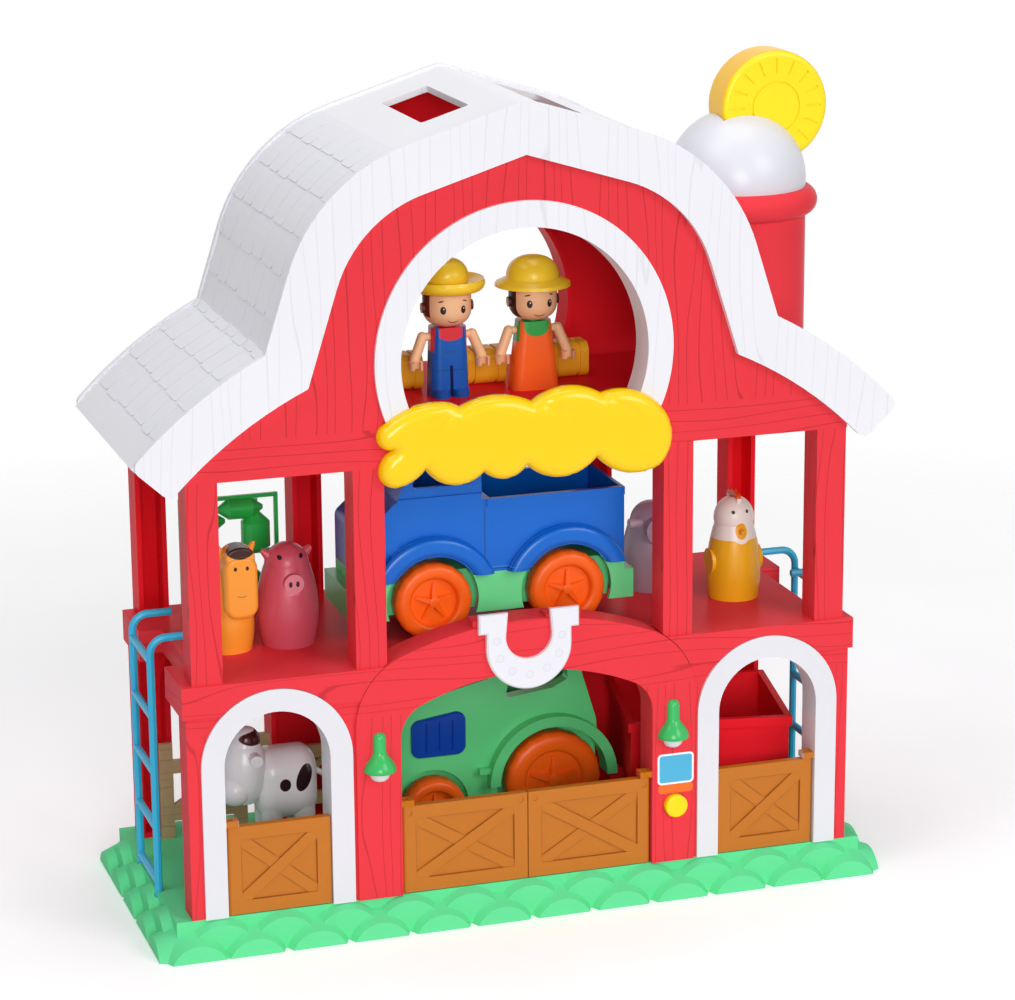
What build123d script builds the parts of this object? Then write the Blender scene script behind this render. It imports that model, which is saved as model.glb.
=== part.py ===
from build123d import *
import os
from math import asin, atan2, cos, degrees, hypot, pi, radians, sin, sqrt

os.makedirs("parts", exist_ok=True)

# Toy farm playset: a two-storey barn on a bush-edged base, with gates, a silo,
# ladders, a sound button, two vehicles with a trailer, two farmers and animals.
# Millimetres. The origin is the centre of the base's underside: +X to the
# viewer's right, +Y away from the viewer, +Z up.

# House, seen from the front
base_depth = 158
base_height = 18
bush_reach = 10
front_yard = 10
rear_yard = 13
storey_height = 108
deck_thickness = 12
deck_lip = 4
bay_height = 100
beam_height = 19.3
wall_half_width = 173
deck_overhang = 2
gable_setback = 3
ladder_gap = 5
side_yard = 11
panel_depth = 16
wall = 2.5
relief = 1.5
seat_gap = 0.3

deck_half_width = wall_half_width + deck_overhang
gable_half_width = wall_half_width - gable_setback
ladder_x = deck_half_width + ladder_gap
base_length = 2 * (ladder_x + side_yard)
base_front = -base_depth / 2
front_y = base_front + front_yard
rear_y = base_depth / 2 - rear_yard
house_mid_y = (front_y + rear_y) / 2
floor_z = base_height
deck_under_z = floor_z + storey_height
deck_z = deck_under_z + deck_thickness
beam_z = deck_z + bay_height
loft_z = beam_z + beam_height

# Doorways
side_door_half = 26.6
side_door_spring = 95
trim_width = 11.4
trim_sleeve = 2
side_post = 6.5
side_door_x = wall_half_width - side_post - trim_width - side_door_half
band_gap = 1.7
band_half = side_door_x - side_door_half - trim_width - band_gap
pillar_width = 22.8
centre_door_half = band_half - pillar_width
centre_door_top = 128.5
centre_door_corner = 18
centre_door_crown = 134
rear_door_lowering = 7
band_top = 155
band_corner = 38
band_crown = 177

# Roof
roof_rise = 155.2
shoulder_half = 104
shoulder_drop = 32.2
shoulder_radius = 90
kink_half = 130
kink_drop = 113.7
eave_reach = 26
eave_half = gable_half_width + eave_reach
eave_drop = 163.5
eave_bow = 3.6
ridge_rounding = 10
bargeboard_width = 25
roof_overhang = 4
roof_skin = 3
roof_recess = 1.2
handle_hole_length = 70
handle_hole_width = 24
handle_hole_x = 29

# Gable
window_drop = 124.5
window_radius = 63
window_ring_width = 13
window_sleeve = 2.5
post_width = 15.6
post_edge = 0.4
post_outer_x = gable_half_width - post_edge - post_width / 2
post_inset = 13.7
post_inner_x = centre_door_half + post_inset

# Gates
gate_height = 46
gate_thickness = 4
gate_gap = 0.5
gate_frame = 7
gate_panel_drop = 1
gate_peg_radius = 1.5
gate_peg_length = 3
running_gap = 0.08
lug_height = 3

# Silo
silo_inset = 24.2
silo_x = wall_half_width - silo_inset
silo_y = 30
silo_radius = 36
silo_wall = 2
silo_top = 339.5
silo_bead = 7.5
dome_radius = 36
dome_centre_rise = 10.7
sun_radius = 29
sun_thickness = 23
sun_shift = 16.8
sun_x = silo_x + sun_shift
sun_z = 387.6

# Ladders
ladder_rail_radius = 2
ladder_front_y = -24
ladder_rear_y = 18
ladder_top = 150
ladder_arm = 20
ladder_rungs = 5
ladder_first_rung = 22.4
ladder_rung_step = 29

axle_radius = 1.5


def house_plane(y, facing=-1):
    """Upright sketch plane at depth y. Negative extrusions go into the house."""
    return Plane(origin=(0, y, 0), x_dir=(-facing, 0, 0), z_dir=(0, facing, 0))


def save(part, label):
    part.label = label
    export_step(part, f"parts/{label}.step")


def round_door(x, half, bottom, spring, mode=Mode.ADD):
    """Round-headed doorway, put into the sketch in work."""
    with Locations((x, (bottom + spring) / 2)):
        Rectangle(2 * half, spring - bottom, mode=mode)
    with Locations((x, spring)):
        Circle(half, mode=mode)


def basket_arch(half, top, corner, crown, bottom, grow=0):
    """Flat-topped arch of three tangent arcs, as a sketch of its own."""
    half = half + grow
    top = top + grow
    corner = corner + grow
    crown = crown + grow
    corner_x = half - corner
    crown_z = top - crown
    rise = sqrt((crown - corner) ** 2 - corner_x**2)
    corner_z = crown_z + rise
    turn = atan2(rise, corner_x)
    touch = (crown * cos(turn), crown_z + crown * sin(turn))
    middle = (corner_x + corner * cos(turn / 2), corner_z + corner * sin(turn / 2))
    with BuildSketch() as area:
        with BuildLine():
            Line((-half, bottom), (half, bottom))
            Line((half, bottom), (half, corner_z))
            ThreePointArc((half, corner_z), middle, touch)
            ThreePointArc(touch, (0, top), (-touch[0], touch[1]))
            ThreePointArc((-touch[0], touch[1]), (-middle[0], middle[1]), (-half, corner_z))
            Line((-half, corner_z), (-half, bottom))
        make_face()
    return area.sketch


def centre_door(bottom, grow=0):
    return basket_arch(
        centre_door_half, centre_door_top, centre_door_corner, centre_door_crown, bottom, grow
    )


def centre_band(bottom, grow=0):
    return basket_arch(band_half, band_top, band_corner, band_crown, bottom, grow)


# Base: a ribbed tray with two staggered rows of bushes round its edge
core_length = base_length - 2 * bush_reach
core_depth = base_depth - 2 * bush_reach
base_skin = 4
rib = 2
base_cells = (9, 4)
bush_pitch = 31.6
bush_radius = 19
bush_crown = 15
low_bush_height = 12.5
gate_axis_y = front_y + gate_thickness / 2
side_gate_inset = side_door_half - gate_gap - gate_thickness / 2
centre_gate_x = centre_door_half - gate_gap - gate_thickness / 2
gate_axes = (
    -side_door_x - side_gate_inset,
    -centre_gate_x,
    centre_gate_x,
    side_door_x + side_gate_inset,
)


def bush_places(top, stagger, inset):
    """Planes facing out of the four sides, one for each bush of a row."""
    places = []
    for out_x, out_y, run, reach in (
        (0, -1, base_length, core_depth / 2),
        (0, 1, base_length, core_depth / 2),
        (-1, 0, base_depth, core_length / 2),
        (1, 0, base_depth, core_length / 2),
    ):
        count = round(run / bush_pitch)
        step = run / count
        for i in range(count - stagger):
            along = (i + 0.5 + 0.5 * stagger) * step - run / 2
            along = max(-run / 2 + inset, min(run / 2 - inset, along))
            spot = (out_x * reach - out_y * along, out_y * reach + out_x * along, top - bush_radius)
            places.append(Plane(origin=spot, x_dir=(-out_y, out_x, 0), z_dir=(out_x, out_y, 0)))
    return places


with BuildPart() as base_plate:
    with BuildSketch():
        Rectangle(core_length, core_depth)
    extrude(amount=base_height)
    with Locations(*bush_places(low_bush_height, 0, bush_radius)):
        Cone(bush_radius, bush_crown, bush_reach, align=(Align.CENTER, Align.CENTER, Align.MIN))
    with Locations(*bush_places(base_height, 1, bush_radius)):
        Cone(bush_radius, bush_crown + 2, bush_reach / 2, align=(Align.CENTER, Align.CENTER, Align.MIN))
    with BuildSketch():
        Rectangle(2 * base_length, 2 * base_length)
    extrude(amount=-2 * bush_radius, mode=Mode.SUBTRACT)
    cell_x = (core_length - rib) / base_cells[0]
    cell_y = (core_depth - rib) / base_cells[1]
    with BuildSketch():
        with GridLocations(cell_x, cell_y, *base_cells):
            Rectangle(cell_x - rib, cell_y - rib)
    extrude(amount=base_height - base_skin, mode=Mode.SUBTRACT)
    with BuildSketch(Plane.XY.offset(base_height)):
        with Locations(*[(x, gate_axis_y) for x in gate_axes]):
            Circle(gate_peg_radius + running_gap)
    extrude(amount=-base_skin, mode=Mode.SUBTRACT)
    ladder_foot = base_height - base_skin
    with BuildSketch(Plane.XY.offset(ladder_foot)):
        with Locations(
            *[(side * ladder_x, y) for side in (-1, 1) for y in (ladder_front_y, ladder_rear_y)]
        ):
            Circle(ladder_rail_radius + seat_gap)
    extrude(amount=2 * base_height, mode=Mode.SUBTRACT)
save(base_plate.part, "base_plate")


# Lower storey: two moulded wall panels with boxed edges and open doorways
lug_half = 3.2
trim_relief = relief


def lower_wall(y, facing, banded):
    """One moulded wall, its pocket open to the inside of the house."""
    sleeve = trim_sleeve if banded else 0
    lowering = 0 if banded else rear_door_lowering
    door_half = side_door_half + sleeve
    with BuildPart() as panel:
        with BuildSketch(house_plane(y, facing)):
            with Locations((0, (floor_z + deck_under_z) / 2)):
                Rectangle(2 * wall_half_width, storey_height)
            if banded:
                add(centre_band(floor_z))
        extrude(amount=-panel_depth)
        with BuildSketch(house_plane(y - facing * wall, facing)):
            with Locations((0, (floor_z + deck_under_z) / 2)):
                Rectangle(2 * (wall_half_width - wall), storey_height - 2 * wall)
            if banded:
                add(centre_band(floor_z + wall, -wall))
            for side in (-1, 1):
                x = side * side_door_x
                round_door(x, door_half + wall, floor_z, side_door_spring, Mode.SUBTRACT)
            add(centre_door(floor_z, wall - lowering), mode=Mode.SUBTRACT)
        extrude(amount=-panel_depth, mode=Mode.SUBTRACT)
        if banded:
            with BuildSketch(house_plane(y, facing)):
                add(centre_band(floor_z))
            extrude(amount=relief)
        with BuildSketch(house_plane(y + facing * 2 * relief, facing)):
            for side in (-1, 1):
                round_door(side * side_door_x, door_half, floor_z, side_door_spring)
            add(centre_door(floor_z, -lowering))
        extrude(amount=-2 * panel_depth, mode=Mode.SUBTRACT)
    return panel


front_panel = lower_wall(front_y, -1, True)
rear_panel = lower_wall(rear_y, 1, False)

# The sound button comes through the right-hand pillar
button_inset = 12.3
button_x = centre_door_half + button_inset
button_z = 48.4
button_radius = 6
button_gap = 0.3
lug_z = floor_z + gate_height + gate_gap
keeper_block = (18, 9, 11)
keeper_x = 19
keeper_top = 156.5

with BuildPart() as lower_front_wall:
    add(front_panel.part)
    with Locations(*[(side * (centre_door_half - lug_half), gate_axis_y, lug_z) for side in (-1, 1)]):
        Box(2 * lug_half, 2 * lug_half, lug_height, align=(Align.CENTER, Align.CENTER, Align.MIN))
    with Locations(*[(side * keeper_x, front_y, keeper_top) for side in (-1, 1)]):
        Box(*keeper_block, align=(Align.CENTER, Align.MIN, Align.MAX))
    with BuildSketch(Plane.XY.offset(lug_z)):
        with Locations(*[(x, gate_axis_y) for x in gate_axes[1:3]]):
            Circle(gate_peg_radius + running_gap)
    extrude(amount=lug_height, mode=Mode.SUBTRACT)
    with BuildSketch(house_plane(front_y - 2 * relief)):
        with Locations((button_x, button_z)):
            Circle(button_radius + button_gap)
    extrude(amount=-panel_depth / 2, mode=Mode.SUBTRACT)
save(lower_front_wall.part, "lower_front_wall")

with BuildPart() as lower_rear_wall:
    add(rear_panel.part)
save(lower_rear_wall.part, "lower_rear_wall")

# White arch trims: a face ring with a sleeve that lines the doorway
with BuildPart() as arch_trims:
    with BuildSketch(house_plane(front_y)):
        for side in (-1, 1):
            round_door(side * side_door_x, side_door_half + trim_width, floor_z, side_door_spring)
    extrude(amount=trim_relief)
    with BuildSketch(house_plane(front_y)):
        for side in (-1, 1):
            round_door(side * side_door_x, side_door_half + trim_sleeve, floor_z, side_door_spring)
    extrude(amount=-panel_depth)
    with BuildSketch(house_plane(front_y - 2 * trim_relief)):
        for side in (-1, 1):
            round_door(side * side_door_x, side_door_half, floor_z, side_door_spring)
    extrude(amount=-2 * panel_depth, mode=Mode.SUBTRACT)
    with Locations(
        *[(side * (side_door_x + side_door_half - lug_half), gate_axis_y, lug_z) for side in (-1, 1)]
    ):
        Box(2 * lug_half, 2 * lug_half, lug_height, align=(Align.CENTER, Align.CENTER, Align.MIN))
    with BuildSketch(Plane.XY.offset(lug_z)):
        with Locations((gate_axes[0], gate_axis_y), (gate_axes[3], gate_axis_y)):
            Circle(gate_peg_radius + running_gap)
    extrude(amount=lug_height, mode=Mode.SUBTRACT)
save(arch_trims.part, "arch_trims")

# Middle deck: a ribbed floor whose deep rim shows as a band round the house
deck_skin = 3
deck_cells = (9, 4)
deck_front = front_y - relief
deck_rear = rear_y + relief
deck_depth = deck_rear - deck_front
deck_mid_y = (deck_front + deck_rear) / 2
ladder_bay = 12
ladder_bay_gap = 9
ladder_mid_y = (ladder_front_y + ladder_rear_y) / 2
ladder_bay_length = ladder_rear_y - ladder_front_y + 2 * ladder_bay_gap
notch_depth = panel_depth + seat_gap

with BuildPart() as middle_deck:
    with BuildSketch(Plane.XY.offset(deck_under_z - deck_lip)):
        with Locations((0, deck_mid_y)):
            Rectangle(2 * deck_half_width, deck_depth)
    extrude(amount=deck_thickness + deck_lip)
    with BuildSketch(Plane.XY.offset(deck_under_z - deck_lip)):
        with Locations((0, house_mid_y)):
            Rectangle(2 * wall_half_width, rear_y - front_y)
    extrude(amount=deck_lip, mode=Mode.SUBTRACT)
    deck_cell_x = (2 * deck_half_width - rib) / deck_cells[0]
    deck_cell_y = (deck_depth - rib) / deck_cells[1]
    with BuildSketch(Plane.XY.offset(deck_under_z)):
        with Locations((0, deck_mid_y)):
            with GridLocations(deck_cell_x, deck_cell_y, *deck_cells):
                Rectangle(deck_cell_x - rib, deck_cell_y - rib)
    extrude(amount=deck_thickness - deck_skin, mode=Mode.SUBTRACT)
    with BuildSketch(house_plane(front_y)):
        with Locations((0, deck_under_z + deck_thickness / 2)):
            Rectangle(2 * (band_half + wall), deck_thickness)
        add(centre_band(floor_z, seat_gap + wall), mode=Mode.INTERSECT)
    extrude(amount=-(notch_depth + wall))
    with BuildSketch(house_plane(deck_front - relief)):
        add(centre_band(floor_z, seat_gap))
    extrude(amount=-(notch_depth + 2 * relief), mode=Mode.SUBTRACT)
    with BuildSketch(house_plane(deck_front - relief)):
        for side in (-1, 1):
            trim_outer = side_door_half + trim_width + seat_gap
            round_door(side * side_door_x, trim_outer, floor_z, side_door_spring)
    extrude(amount=-2 * relief, mode=Mode.SUBTRACT)
    for side in (-1, 1):
        with BuildSketch(Plane.XY.offset(deck_under_z)):
            with Locations((side * (deck_half_width - (ladder_bay + wall) / 2), ladder_mid_y)):
                Rectangle(ladder_bay + wall, ladder_bay_length + 2 * wall)
        extrude(amount=deck_thickness)
        with BuildSketch(Plane.XY.offset(deck_under_z - deck_lip)):
            with Locations((side * (deck_half_width - ladder_bay / 2 + relief), ladder_mid_y)):
                Rectangle(ladder_bay + 2 * relief, ladder_bay_length)
        extrude(amount=deck_thickness + deck_lip, mode=Mode.SUBTRACT)
save(middle_deck.part, "middle_deck")

# Roof line, shared by the roof and the gables
ridge_z = loft_z + roof_rise
kink = (kink_half, ridge_z - kink_drop)
eave = (eave_half, ridge_z - eave_drop)
shoulder = (shoulder_half, ridge_z - shoulder_drop)
eave_run = hypot(eave[0] - kink[0], eave[1] - kink[1])
eave_normal = ((kink[1] - eave[1]) / eave_run, (eave[0] - kink[0]) / eave_run)
eave_middle = (
    (kink[0] + eave[0]) / 2 + eave_bow * eave_normal[0],
    (kink[1] + eave[1]) / 2 + eave_bow * eave_normal[1],
)


def mirrored(point):
    return (-point[0], point[1])


def roof_line():
    """The gambrel's outer line from eave to eave, added to the line in work."""
    ThreePointArc(mirrored(eave), mirrored(eave_middle), mirrored(kink))
    FilletPolyline(
        mirrored(kink),
        mirrored(shoulder),
        (0, ridge_z),
        shoulder,
        kink,
        radius=[shoulder_radius, ridge_rounding, shoulder_radius],
    )
    ThreePointArc(kink, eave_middle, eave)


eave_turn = 2 * atan2(2 * eave_bow, eave_run)
eave_angle = atan2(eave[1] - kink[1], eave[0] - kink[0]) - eave_turn
eave_reach = 60


def from_eave(along, out):
    """Point at a distance on down the slope from the eave, and out of it."""
    return (
        eave[0] + along * cos(eave_angle) - out * sin(eave_angle),
        eave[1] + along * sin(eave_angle) + out * cos(eave_angle),
    )


def under_roof(inset=0):
    """Everything below the roof line less the inset, as a sketch of its own."""
    tail = from_eave(eave_reach, 0)
    with BuildSketch() as area:
        with BuildLine():
            roof_line()
            Polyline(eave, tail, (tail[0], 0), (-tail[0], 0), mirrored(tail), mirrored(eave))
        make_face()
        if inset:
            offset(amount=-inset, kind=Kind.INTERSECTION, mode=Mode.REPLACE)
    return area.sketch


def roof_band(width, rounding):
    """A strip of even width under the roof line, its four eave corners rounded."""
    above = from_eave(0, eave_reach)
    below = from_eave(0, -eave_reach)
    with BuildSketch() as area:
        add(under_roof())
        add(under_roof(width), mode=Mode.SUBTRACT)
        with BuildLine():
            Polyline(below, above, (0, 2 * ridge_z), mirrored(above), mirrored(below), close=True)
        make_face(mode=Mode.INTERSECT)
        if rounding:
            fillet(area.vertices().filter_by(lambda v: abs(v.X) > gable_half_width), rounding)
    return area.sketch


roof_front = front_y - roof_overhang
roof_rear = rear_y + roof_overhang
board_thickness = roof_overhang - seat_gap
roof_depth = roof_rear - roof_front
tip_rounding = 5

with BuildPart() as roof:
    with BuildSketch(house_plane(roof_front + board_thickness)):
        add(roof_band(roof_recess + roof_skin, 0))
        add(roof_band(roof_recess, 0), mode=Mode.SUBTRACT)
    extrude(amount=-(roof_depth - 2 * board_thickness))
    for face_y in (roof_front, roof_rear - board_thickness):
        with BuildSketch(house_plane(face_y)):
            add(roof_band(bargeboard_width, tip_rounding))
        extrude(amount=-board_thickness)
    with BuildSketch(Plane.XY.offset(ridge_z)):
        with Locations((-handle_hole_x, house_mid_y), (handle_hole_x, house_mid_y)):
            RectangleRounded(handle_hole_width, handle_hole_length, 2)
    extrude(amount=-bargeboard_width, mode=Mode.SUBTRACT)
save(roof.part, "roof")

# Gable walls: posts, beam and gable in one panel with a round window
gable_inset = roof_recess + roof_skin + seat_gap
window_z = ridge_z - window_drop
window_bore = window_radius + window_sleeve + seat_gap
loft_thickness = 3


def window_hole(bore, sill):
    """Round window with a flat sill at the loft floor, as a sketch of its own."""
    with BuildSketch() as area:
        with Locations((0, window_z)):
            Circle(bore)
        with Locations((0, loft_z - sill)):
            Rectangle(3 * bore, 3 * bore, align=(Align.CENTER, Align.MIN), mode=Mode.INTERSECT)
    return area.sketch


def gable_face(inset, bore):
    """Gable outline with its window, added to the sketch in work."""
    top = ridge_z
    with Locations((0, (beam_z + inset + top) / 2)):
        Rectangle(2 * (gable_half_width - inset), top - beam_z - inset)
    add(under_roof(gable_inset + inset), mode=Mode.INTERSECT)
    add(window_hole(bore, inset), mode=Mode.SUBTRACT)


def gable_wall(y, facing, bore):
    post_places = [(side * x, (deck_z + beam_z) / 2) for side in (-1, 1) for x in (post_inner_x, post_outer_x)]
    with BuildPart() as panel:
        with BuildSketch(house_plane(y, facing)):
            gable_face(0, bore)
            with Locations(*post_places):
                Rectangle(post_width, bay_height)
        extrude(amount=-panel_depth)
        with BuildSketch(house_plane(y - facing * wall, facing)):
            gable_face(wall, bore + wall)
            with Locations(*post_places):
                Rectangle(post_width - 2 * wall, bay_height + 2 * wall + seat_gap)
        extrude(amount=-panel_depth, mode=Mode.SUBTRACT)
        with BuildSketch(house_plane(y - facing * panel_depth, facing)):
            with Locations((0, (beam_z + loft_z - loft_thickness) / 2)):
                Rectangle(2 * bore, beam_height - loft_thickness)
        extrude(amount=wall)
    return panel


front_gable = gable_wall(front_y, -1, window_bore)
rear_gable = gable_wall(rear_y, 1, window_radius)

with BuildPart() as upper_front_wall:
    add(front_gable.part)
    with BuildSketch(house_plane(front_y - 2 * relief)):
        add(centre_band(floor_z, seat_gap))
    extrude(amount=-2 * panel_depth, mode=Mode.SUBTRACT)
save(upper_front_wall.part, "upper_front_wall")

with BuildPart() as upper_rear_wall:
    add(rear_gable.part)
save(upper_rear_wall.part, "upper_rear_wall")

# White ring round the window, with a sleeve through the gable
with BuildPart() as window_ring:
    with BuildSketch(house_plane(front_y)):
        with Locations((0, window_z)):
            Circle(window_radius + window_ring_width)
            Circle(window_radius, mode=Mode.SUBTRACT)
    extrude(amount=relief + seat_gap)
    with BuildSketch(house_plane(front_y)):
        with Locations((0, window_z)):
            Circle(window_radius + window_sleeve)
            Circle(window_radius, mode=Mode.SUBTRACT)
    extrude(amount=-panel_depth)
    with BuildSketch(house_plane(front_y - 2 * panel_depth)):
        with Locations((0, loft_z)):
            Rectangle(
                4 * window_radius,
                4 * window_radius,
                align=(Align.CENTER, Align.MAX),
            )
    extrude(amount=-4 * panel_depth, mode=Mode.SUBTRACT)
save(window_ring.part, "window_ring")

# Loft floor between the two gables
with BuildPart() as loft_floor:
    with BuildSketch(Plane.XY.offset(loft_z - loft_thickness)):
        with Locations((0, house_mid_y)):
            Rectangle(2 * (gable_half_width - wall), rear_y - front_y - 2 * panel_depth)
    extrude(amount=loft_thickness)
save(loft_floor.part, "loft_floor")

# Hay awning over the beam: nine arcs from bump to bump, (start), via
hay_thickness = 8
hay_points = (
    (-67.3, 249.3), (-65, 266), (-33.5, 267.1), (-17, 271.5), (1.5, 267.1), (20, 273),
    (37.9, 268.2), (64, 263.5), (74.6, 247), (61, 227.3), (35.2, 236.7), (17, 227.5),
    (-0.4, 235.9), (-12, 229.9), (-21.7, 233.9), (-37, 228.6), (-51.3, 237.5), (-71, 231),
    (-67.3, 249.3),
)

hay_mid = (3.6, 250)
hay_half = (71, 22.7)


def hay_outline(inset):
    """Awning outline drawn in by about the inset, as a sketch of its own."""
    points = [
        tuple(m + (c - m) * (1 - inset / half) for c, m, half in zip(p, hay_mid, hay_half))
        for p in hay_points
    ]
    with BuildSketch() as area:
        with BuildLine():
            for i in range(0, len(points) - 2, 2):
                ThreePointArc(*points[i : i + 3])
        make_face()
    return area.sketch


with BuildPart() as hay_awning:
    for inset, depth in ((0, hay_thickness - 2), (0.7, hay_thickness - 0.8), (2, hay_thickness)):
        with BuildSketch(house_plane(front_y)):
            add(hay_outline(inset))
        extrude(amount=depth)
    with BuildSketch(house_plane(front_y)):
        with Locations((0, window_z)):
            Circle(window_radius + window_ring_width + seat_gap)
            Circle(window_radius - seat_gap, mode=Mode.SUBTRACT)
    extrude(amount=relief + 2 * seat_gap, mode=Mode.SUBTRACT)
save(hay_awning.part, "hay_awning")

# Horseshoe on the crown of the centre arch
shoe_outer = 22
shoe_inner = 12
shoe_z = 142
shoe_inner_bottom = 135.6
shoe_tip_half = 26
shoe_tip_z = 150
shoe_top = 160
shoe_tip_inner = 10.9
shoe_thickness = 3

with BuildPart() as horseshoe:
    with BuildSketch(house_plane(front_y - relief)):
        with BuildLine():
            ThreePointArc((-shoe_outer, shoe_z), (0, shoe_z - shoe_outer), (shoe_outer, shoe_z))
            Polyline(
                (shoe_outer, shoe_z),
                (shoe_outer, shoe_tip_z),
                (shoe_tip_half, shoe_tip_z),
                (shoe_tip_half, shoe_top),
                (shoe_tip_inner, shoe_top),
                (shoe_inner, shoe_inner_bottom + shoe_inner),
            )
            ThreePointArc(
                (shoe_inner, shoe_inner_bottom + shoe_inner),
                (0, shoe_inner_bottom),
                (-shoe_inner, shoe_inner_bottom + shoe_inner),
            )
            Polyline(
                (-shoe_inner, shoe_inner_bottom + shoe_inner),
                (-shoe_tip_inner, shoe_top),
                (-shoe_tip_half, shoe_top),
                (-shoe_tip_half, shoe_tip_z),
                (-shoe_outer, shoe_tip_z),
                (-shoe_outer, shoe_z),
            )
        make_face()
    extrude(amount=shoe_thickness)
    chamfer(horseshoe.faces().sort_by(Axis.Y)[0].edges(), 0.8)
save(horseshoe.part, "horseshoe")

# Two moulded barn lamps, half in the round, on the pillars
lamp_inset = 11
lamp_x = centre_door_half + lamp_inset
lamp_top = 105
lamp_stem = 3.6
lamp_shade = 8.4
lamp_shade_z = 86
lamp_edge_z = 84
lamp_bulb = 6.2
lamp_bulb_z = 79.8

with BuildPart() as lamp:
    with BuildSketch(Plane.XZ):
        with BuildLine():
            Polyline(
                (0, lamp_bulb_z),
                (lamp_bulb / 2, lamp_bulb_z),
                (lamp_bulb, lamp_edge_z),
                (lamp_shade, lamp_edge_z),
                (lamp_shade, lamp_shade_z),
            )
            ThreePointArc(
                (lamp_shade, lamp_shade_z),
                (lamp_stem + 1.2, (lamp_shade_z + lamp_top) / 2 - 2.5),
                (lamp_stem, lamp_top - 6),
            )
            Polyline(
                (lamp_stem, lamp_top - 6),
                (lamp_stem, lamp_top - 1.5),
                (lamp_stem - 1.5, lamp_top),
                (0, lamp_top),
                (0, lamp_bulb_z),
            )
        make_face()
    revolve(axis=Axis.Z)
    with Locations((0, 0, lamp_edge_z)):
        Box(
            3 * lamp_shade,
            3 * lamp_shade,
            8 * lamp_shade,
            align=(Align.CENTER, Align.MIN, Align.CENTER),
            mode=Mode.SUBTRACT,
        )

with BuildPart() as lamps:
    with Locations((-lamp_x, front_y - relief), (lamp_x, front_y - relief)):
        add(lamp.part)
save(lamps.part, "lamps")

# Sound unit in the right-hand pillar: sprung button, box, board, speaker, cells
button_front = front_y - 5
button_travel = 2.5
box_shift = 4.2
box_x = button_x + box_shift
box_width = 26
box_bottom = 30
box_top = 90
box_depth = 24
box_wall = 1.5
box_front = front_y + wall
box_rear = box_front + box_depth
flange_radius = button_radius + 0.9
flange_thickness = 1.5
board_width = 20
board_length = 34
board_thickness = 1.2
board_mid_z = 67
board_gap = 1.8
cell_radius = 5.8
cell_height = 5.4
speaker_radius = 10
speaker_depth = 4.5
speaker_z = 76
door_length = 24
door_lip = 2
battery_z = 43.5

flange_front = box_front + box_wall
board_front = flange_front + flange_thickness + button_travel + board_gap

with BuildPart() as sound_button:
    with BuildSketch(house_plane(button_front)):
        with Locations((button_x, button_z)):
            Circle(button_radius)
    extrude(amount=-(flange_front + flange_thickness - button_front))
    fillet(sound_button.edges().sort_by(Axis.Y)[0], 1.5)
    with BuildSketch(house_plane(flange_front)):
        with Locations((button_x, button_z)):
            Circle(flange_radius)
    extrude(amount=-flange_thickness)
save(sound_button.part, "sound_button")

with BuildPart() as sound_box:
    box_mid = (box_x, (box_front + box_rear) / 2, (box_bottom + box_top) / 2)
    with Locations(box_mid):
        Box(box_width, box_depth, box_top - box_bottom)
    fillet(sound_box.edges().filter_by(Axis.Z), 2)
    with Locations(box_mid):
        Box(
            box_width - 2 * box_wall,
            box_depth - 2 * box_wall,
            box_top - box_bottom - 2 * box_wall,
            mode=Mode.SUBTRACT,
        )
    with BuildSketch(house_plane(flange_front)):
        for boss_z in (board_mid_z - 6, board_mid_z + 13):
            with Locations((box_x, boss_z)):
                Circle(2)
    extrude(amount=-(board_front - flange_front))
    with BuildSketch(house_plane(box_front)):
        with Locations((button_x, button_z)):
            Circle(button_radius + running_gap)
    extrude(amount=-box_wall, mode=Mode.SUBTRACT)
    with BuildSketch(house_plane(box_rear, 1)):
        with Locations((-box_x, battery_z)):
            Rectangle(board_width - 2 * door_lip, door_length - 2 * door_lip)
        with Locations((-box_x, speaker_z)):
            Circle(1)
            with PolarLocations(4.5, 6):
                Circle(1)
    extrude(amount=-box_wall, mode=Mode.SUBTRACT)
save(sound_box.part, "sound_box")

with BuildPart() as battery_door:
    with BuildSketch(house_plane(box_rear, 1)):
        with Locations((-box_x, battery_z)):
            RectangleRounded(board_width, door_length, 1.5)
    extrude(amount=box_wall)
    with BuildSketch(house_plane(box_rear, 1)):
        with Locations((-box_x, battery_z)):
            Rectangle(
                board_width - 2 * door_lip - 2 * seat_gap, door_length - 2 * door_lip - 2 * seat_gap
            )
    extrude(amount=-box_wall)
save(battery_door.part, "battery_door")

with BuildPart() as circuit_board:
    with Locations((box_x, board_front, board_mid_z)):
        Box(
            board_width, board_thickness, board_length, align=(Align.CENTER, Align.MIN, Align.CENTER)
        )
save(circuit_board.part, "circuit_board")

with BuildPart() as speaker:
    with BuildSketch(house_plane(box_rear - box_wall)):
        with Locations((box_x, speaker_z)):
            Circle(speaker_radius)
    extrude(amount=speaker_depth)
    with BuildSketch(house_plane(box_rear - box_wall)):
        with Locations((box_x, speaker_z)):
            Circle(speaker_radius - 1.5)
            Circle(speaker_radius / 3, mode=Mode.SUBTRACT)
    extrude(amount=speaker_depth - 1.5, mode=Mode.SUBTRACT)
save(speaker.part, "speaker")

with BuildPart() as button_cells:
    for i in range(3):
        with Locations((box_x, box_rear - box_wall - 1.5 * cell_radius, box_bottom + box_wall)):
            with Locations((0, 0, i * cell_height)):
                Cylinder(
                    cell_radius, cell_height, align=(Align.CENTER, Align.CENTER, Align.MIN)
                )
save(button_cells.part, "button_cells")

# Gates: braced leaves that turn on pegs in the base and in lugs above
gate_bottom = floor_z + gate_gap
gate_leaf = gate_height - gate_gap
brace_width = 6
brace_drop = 0.4
stud_radius = 1.6


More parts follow.
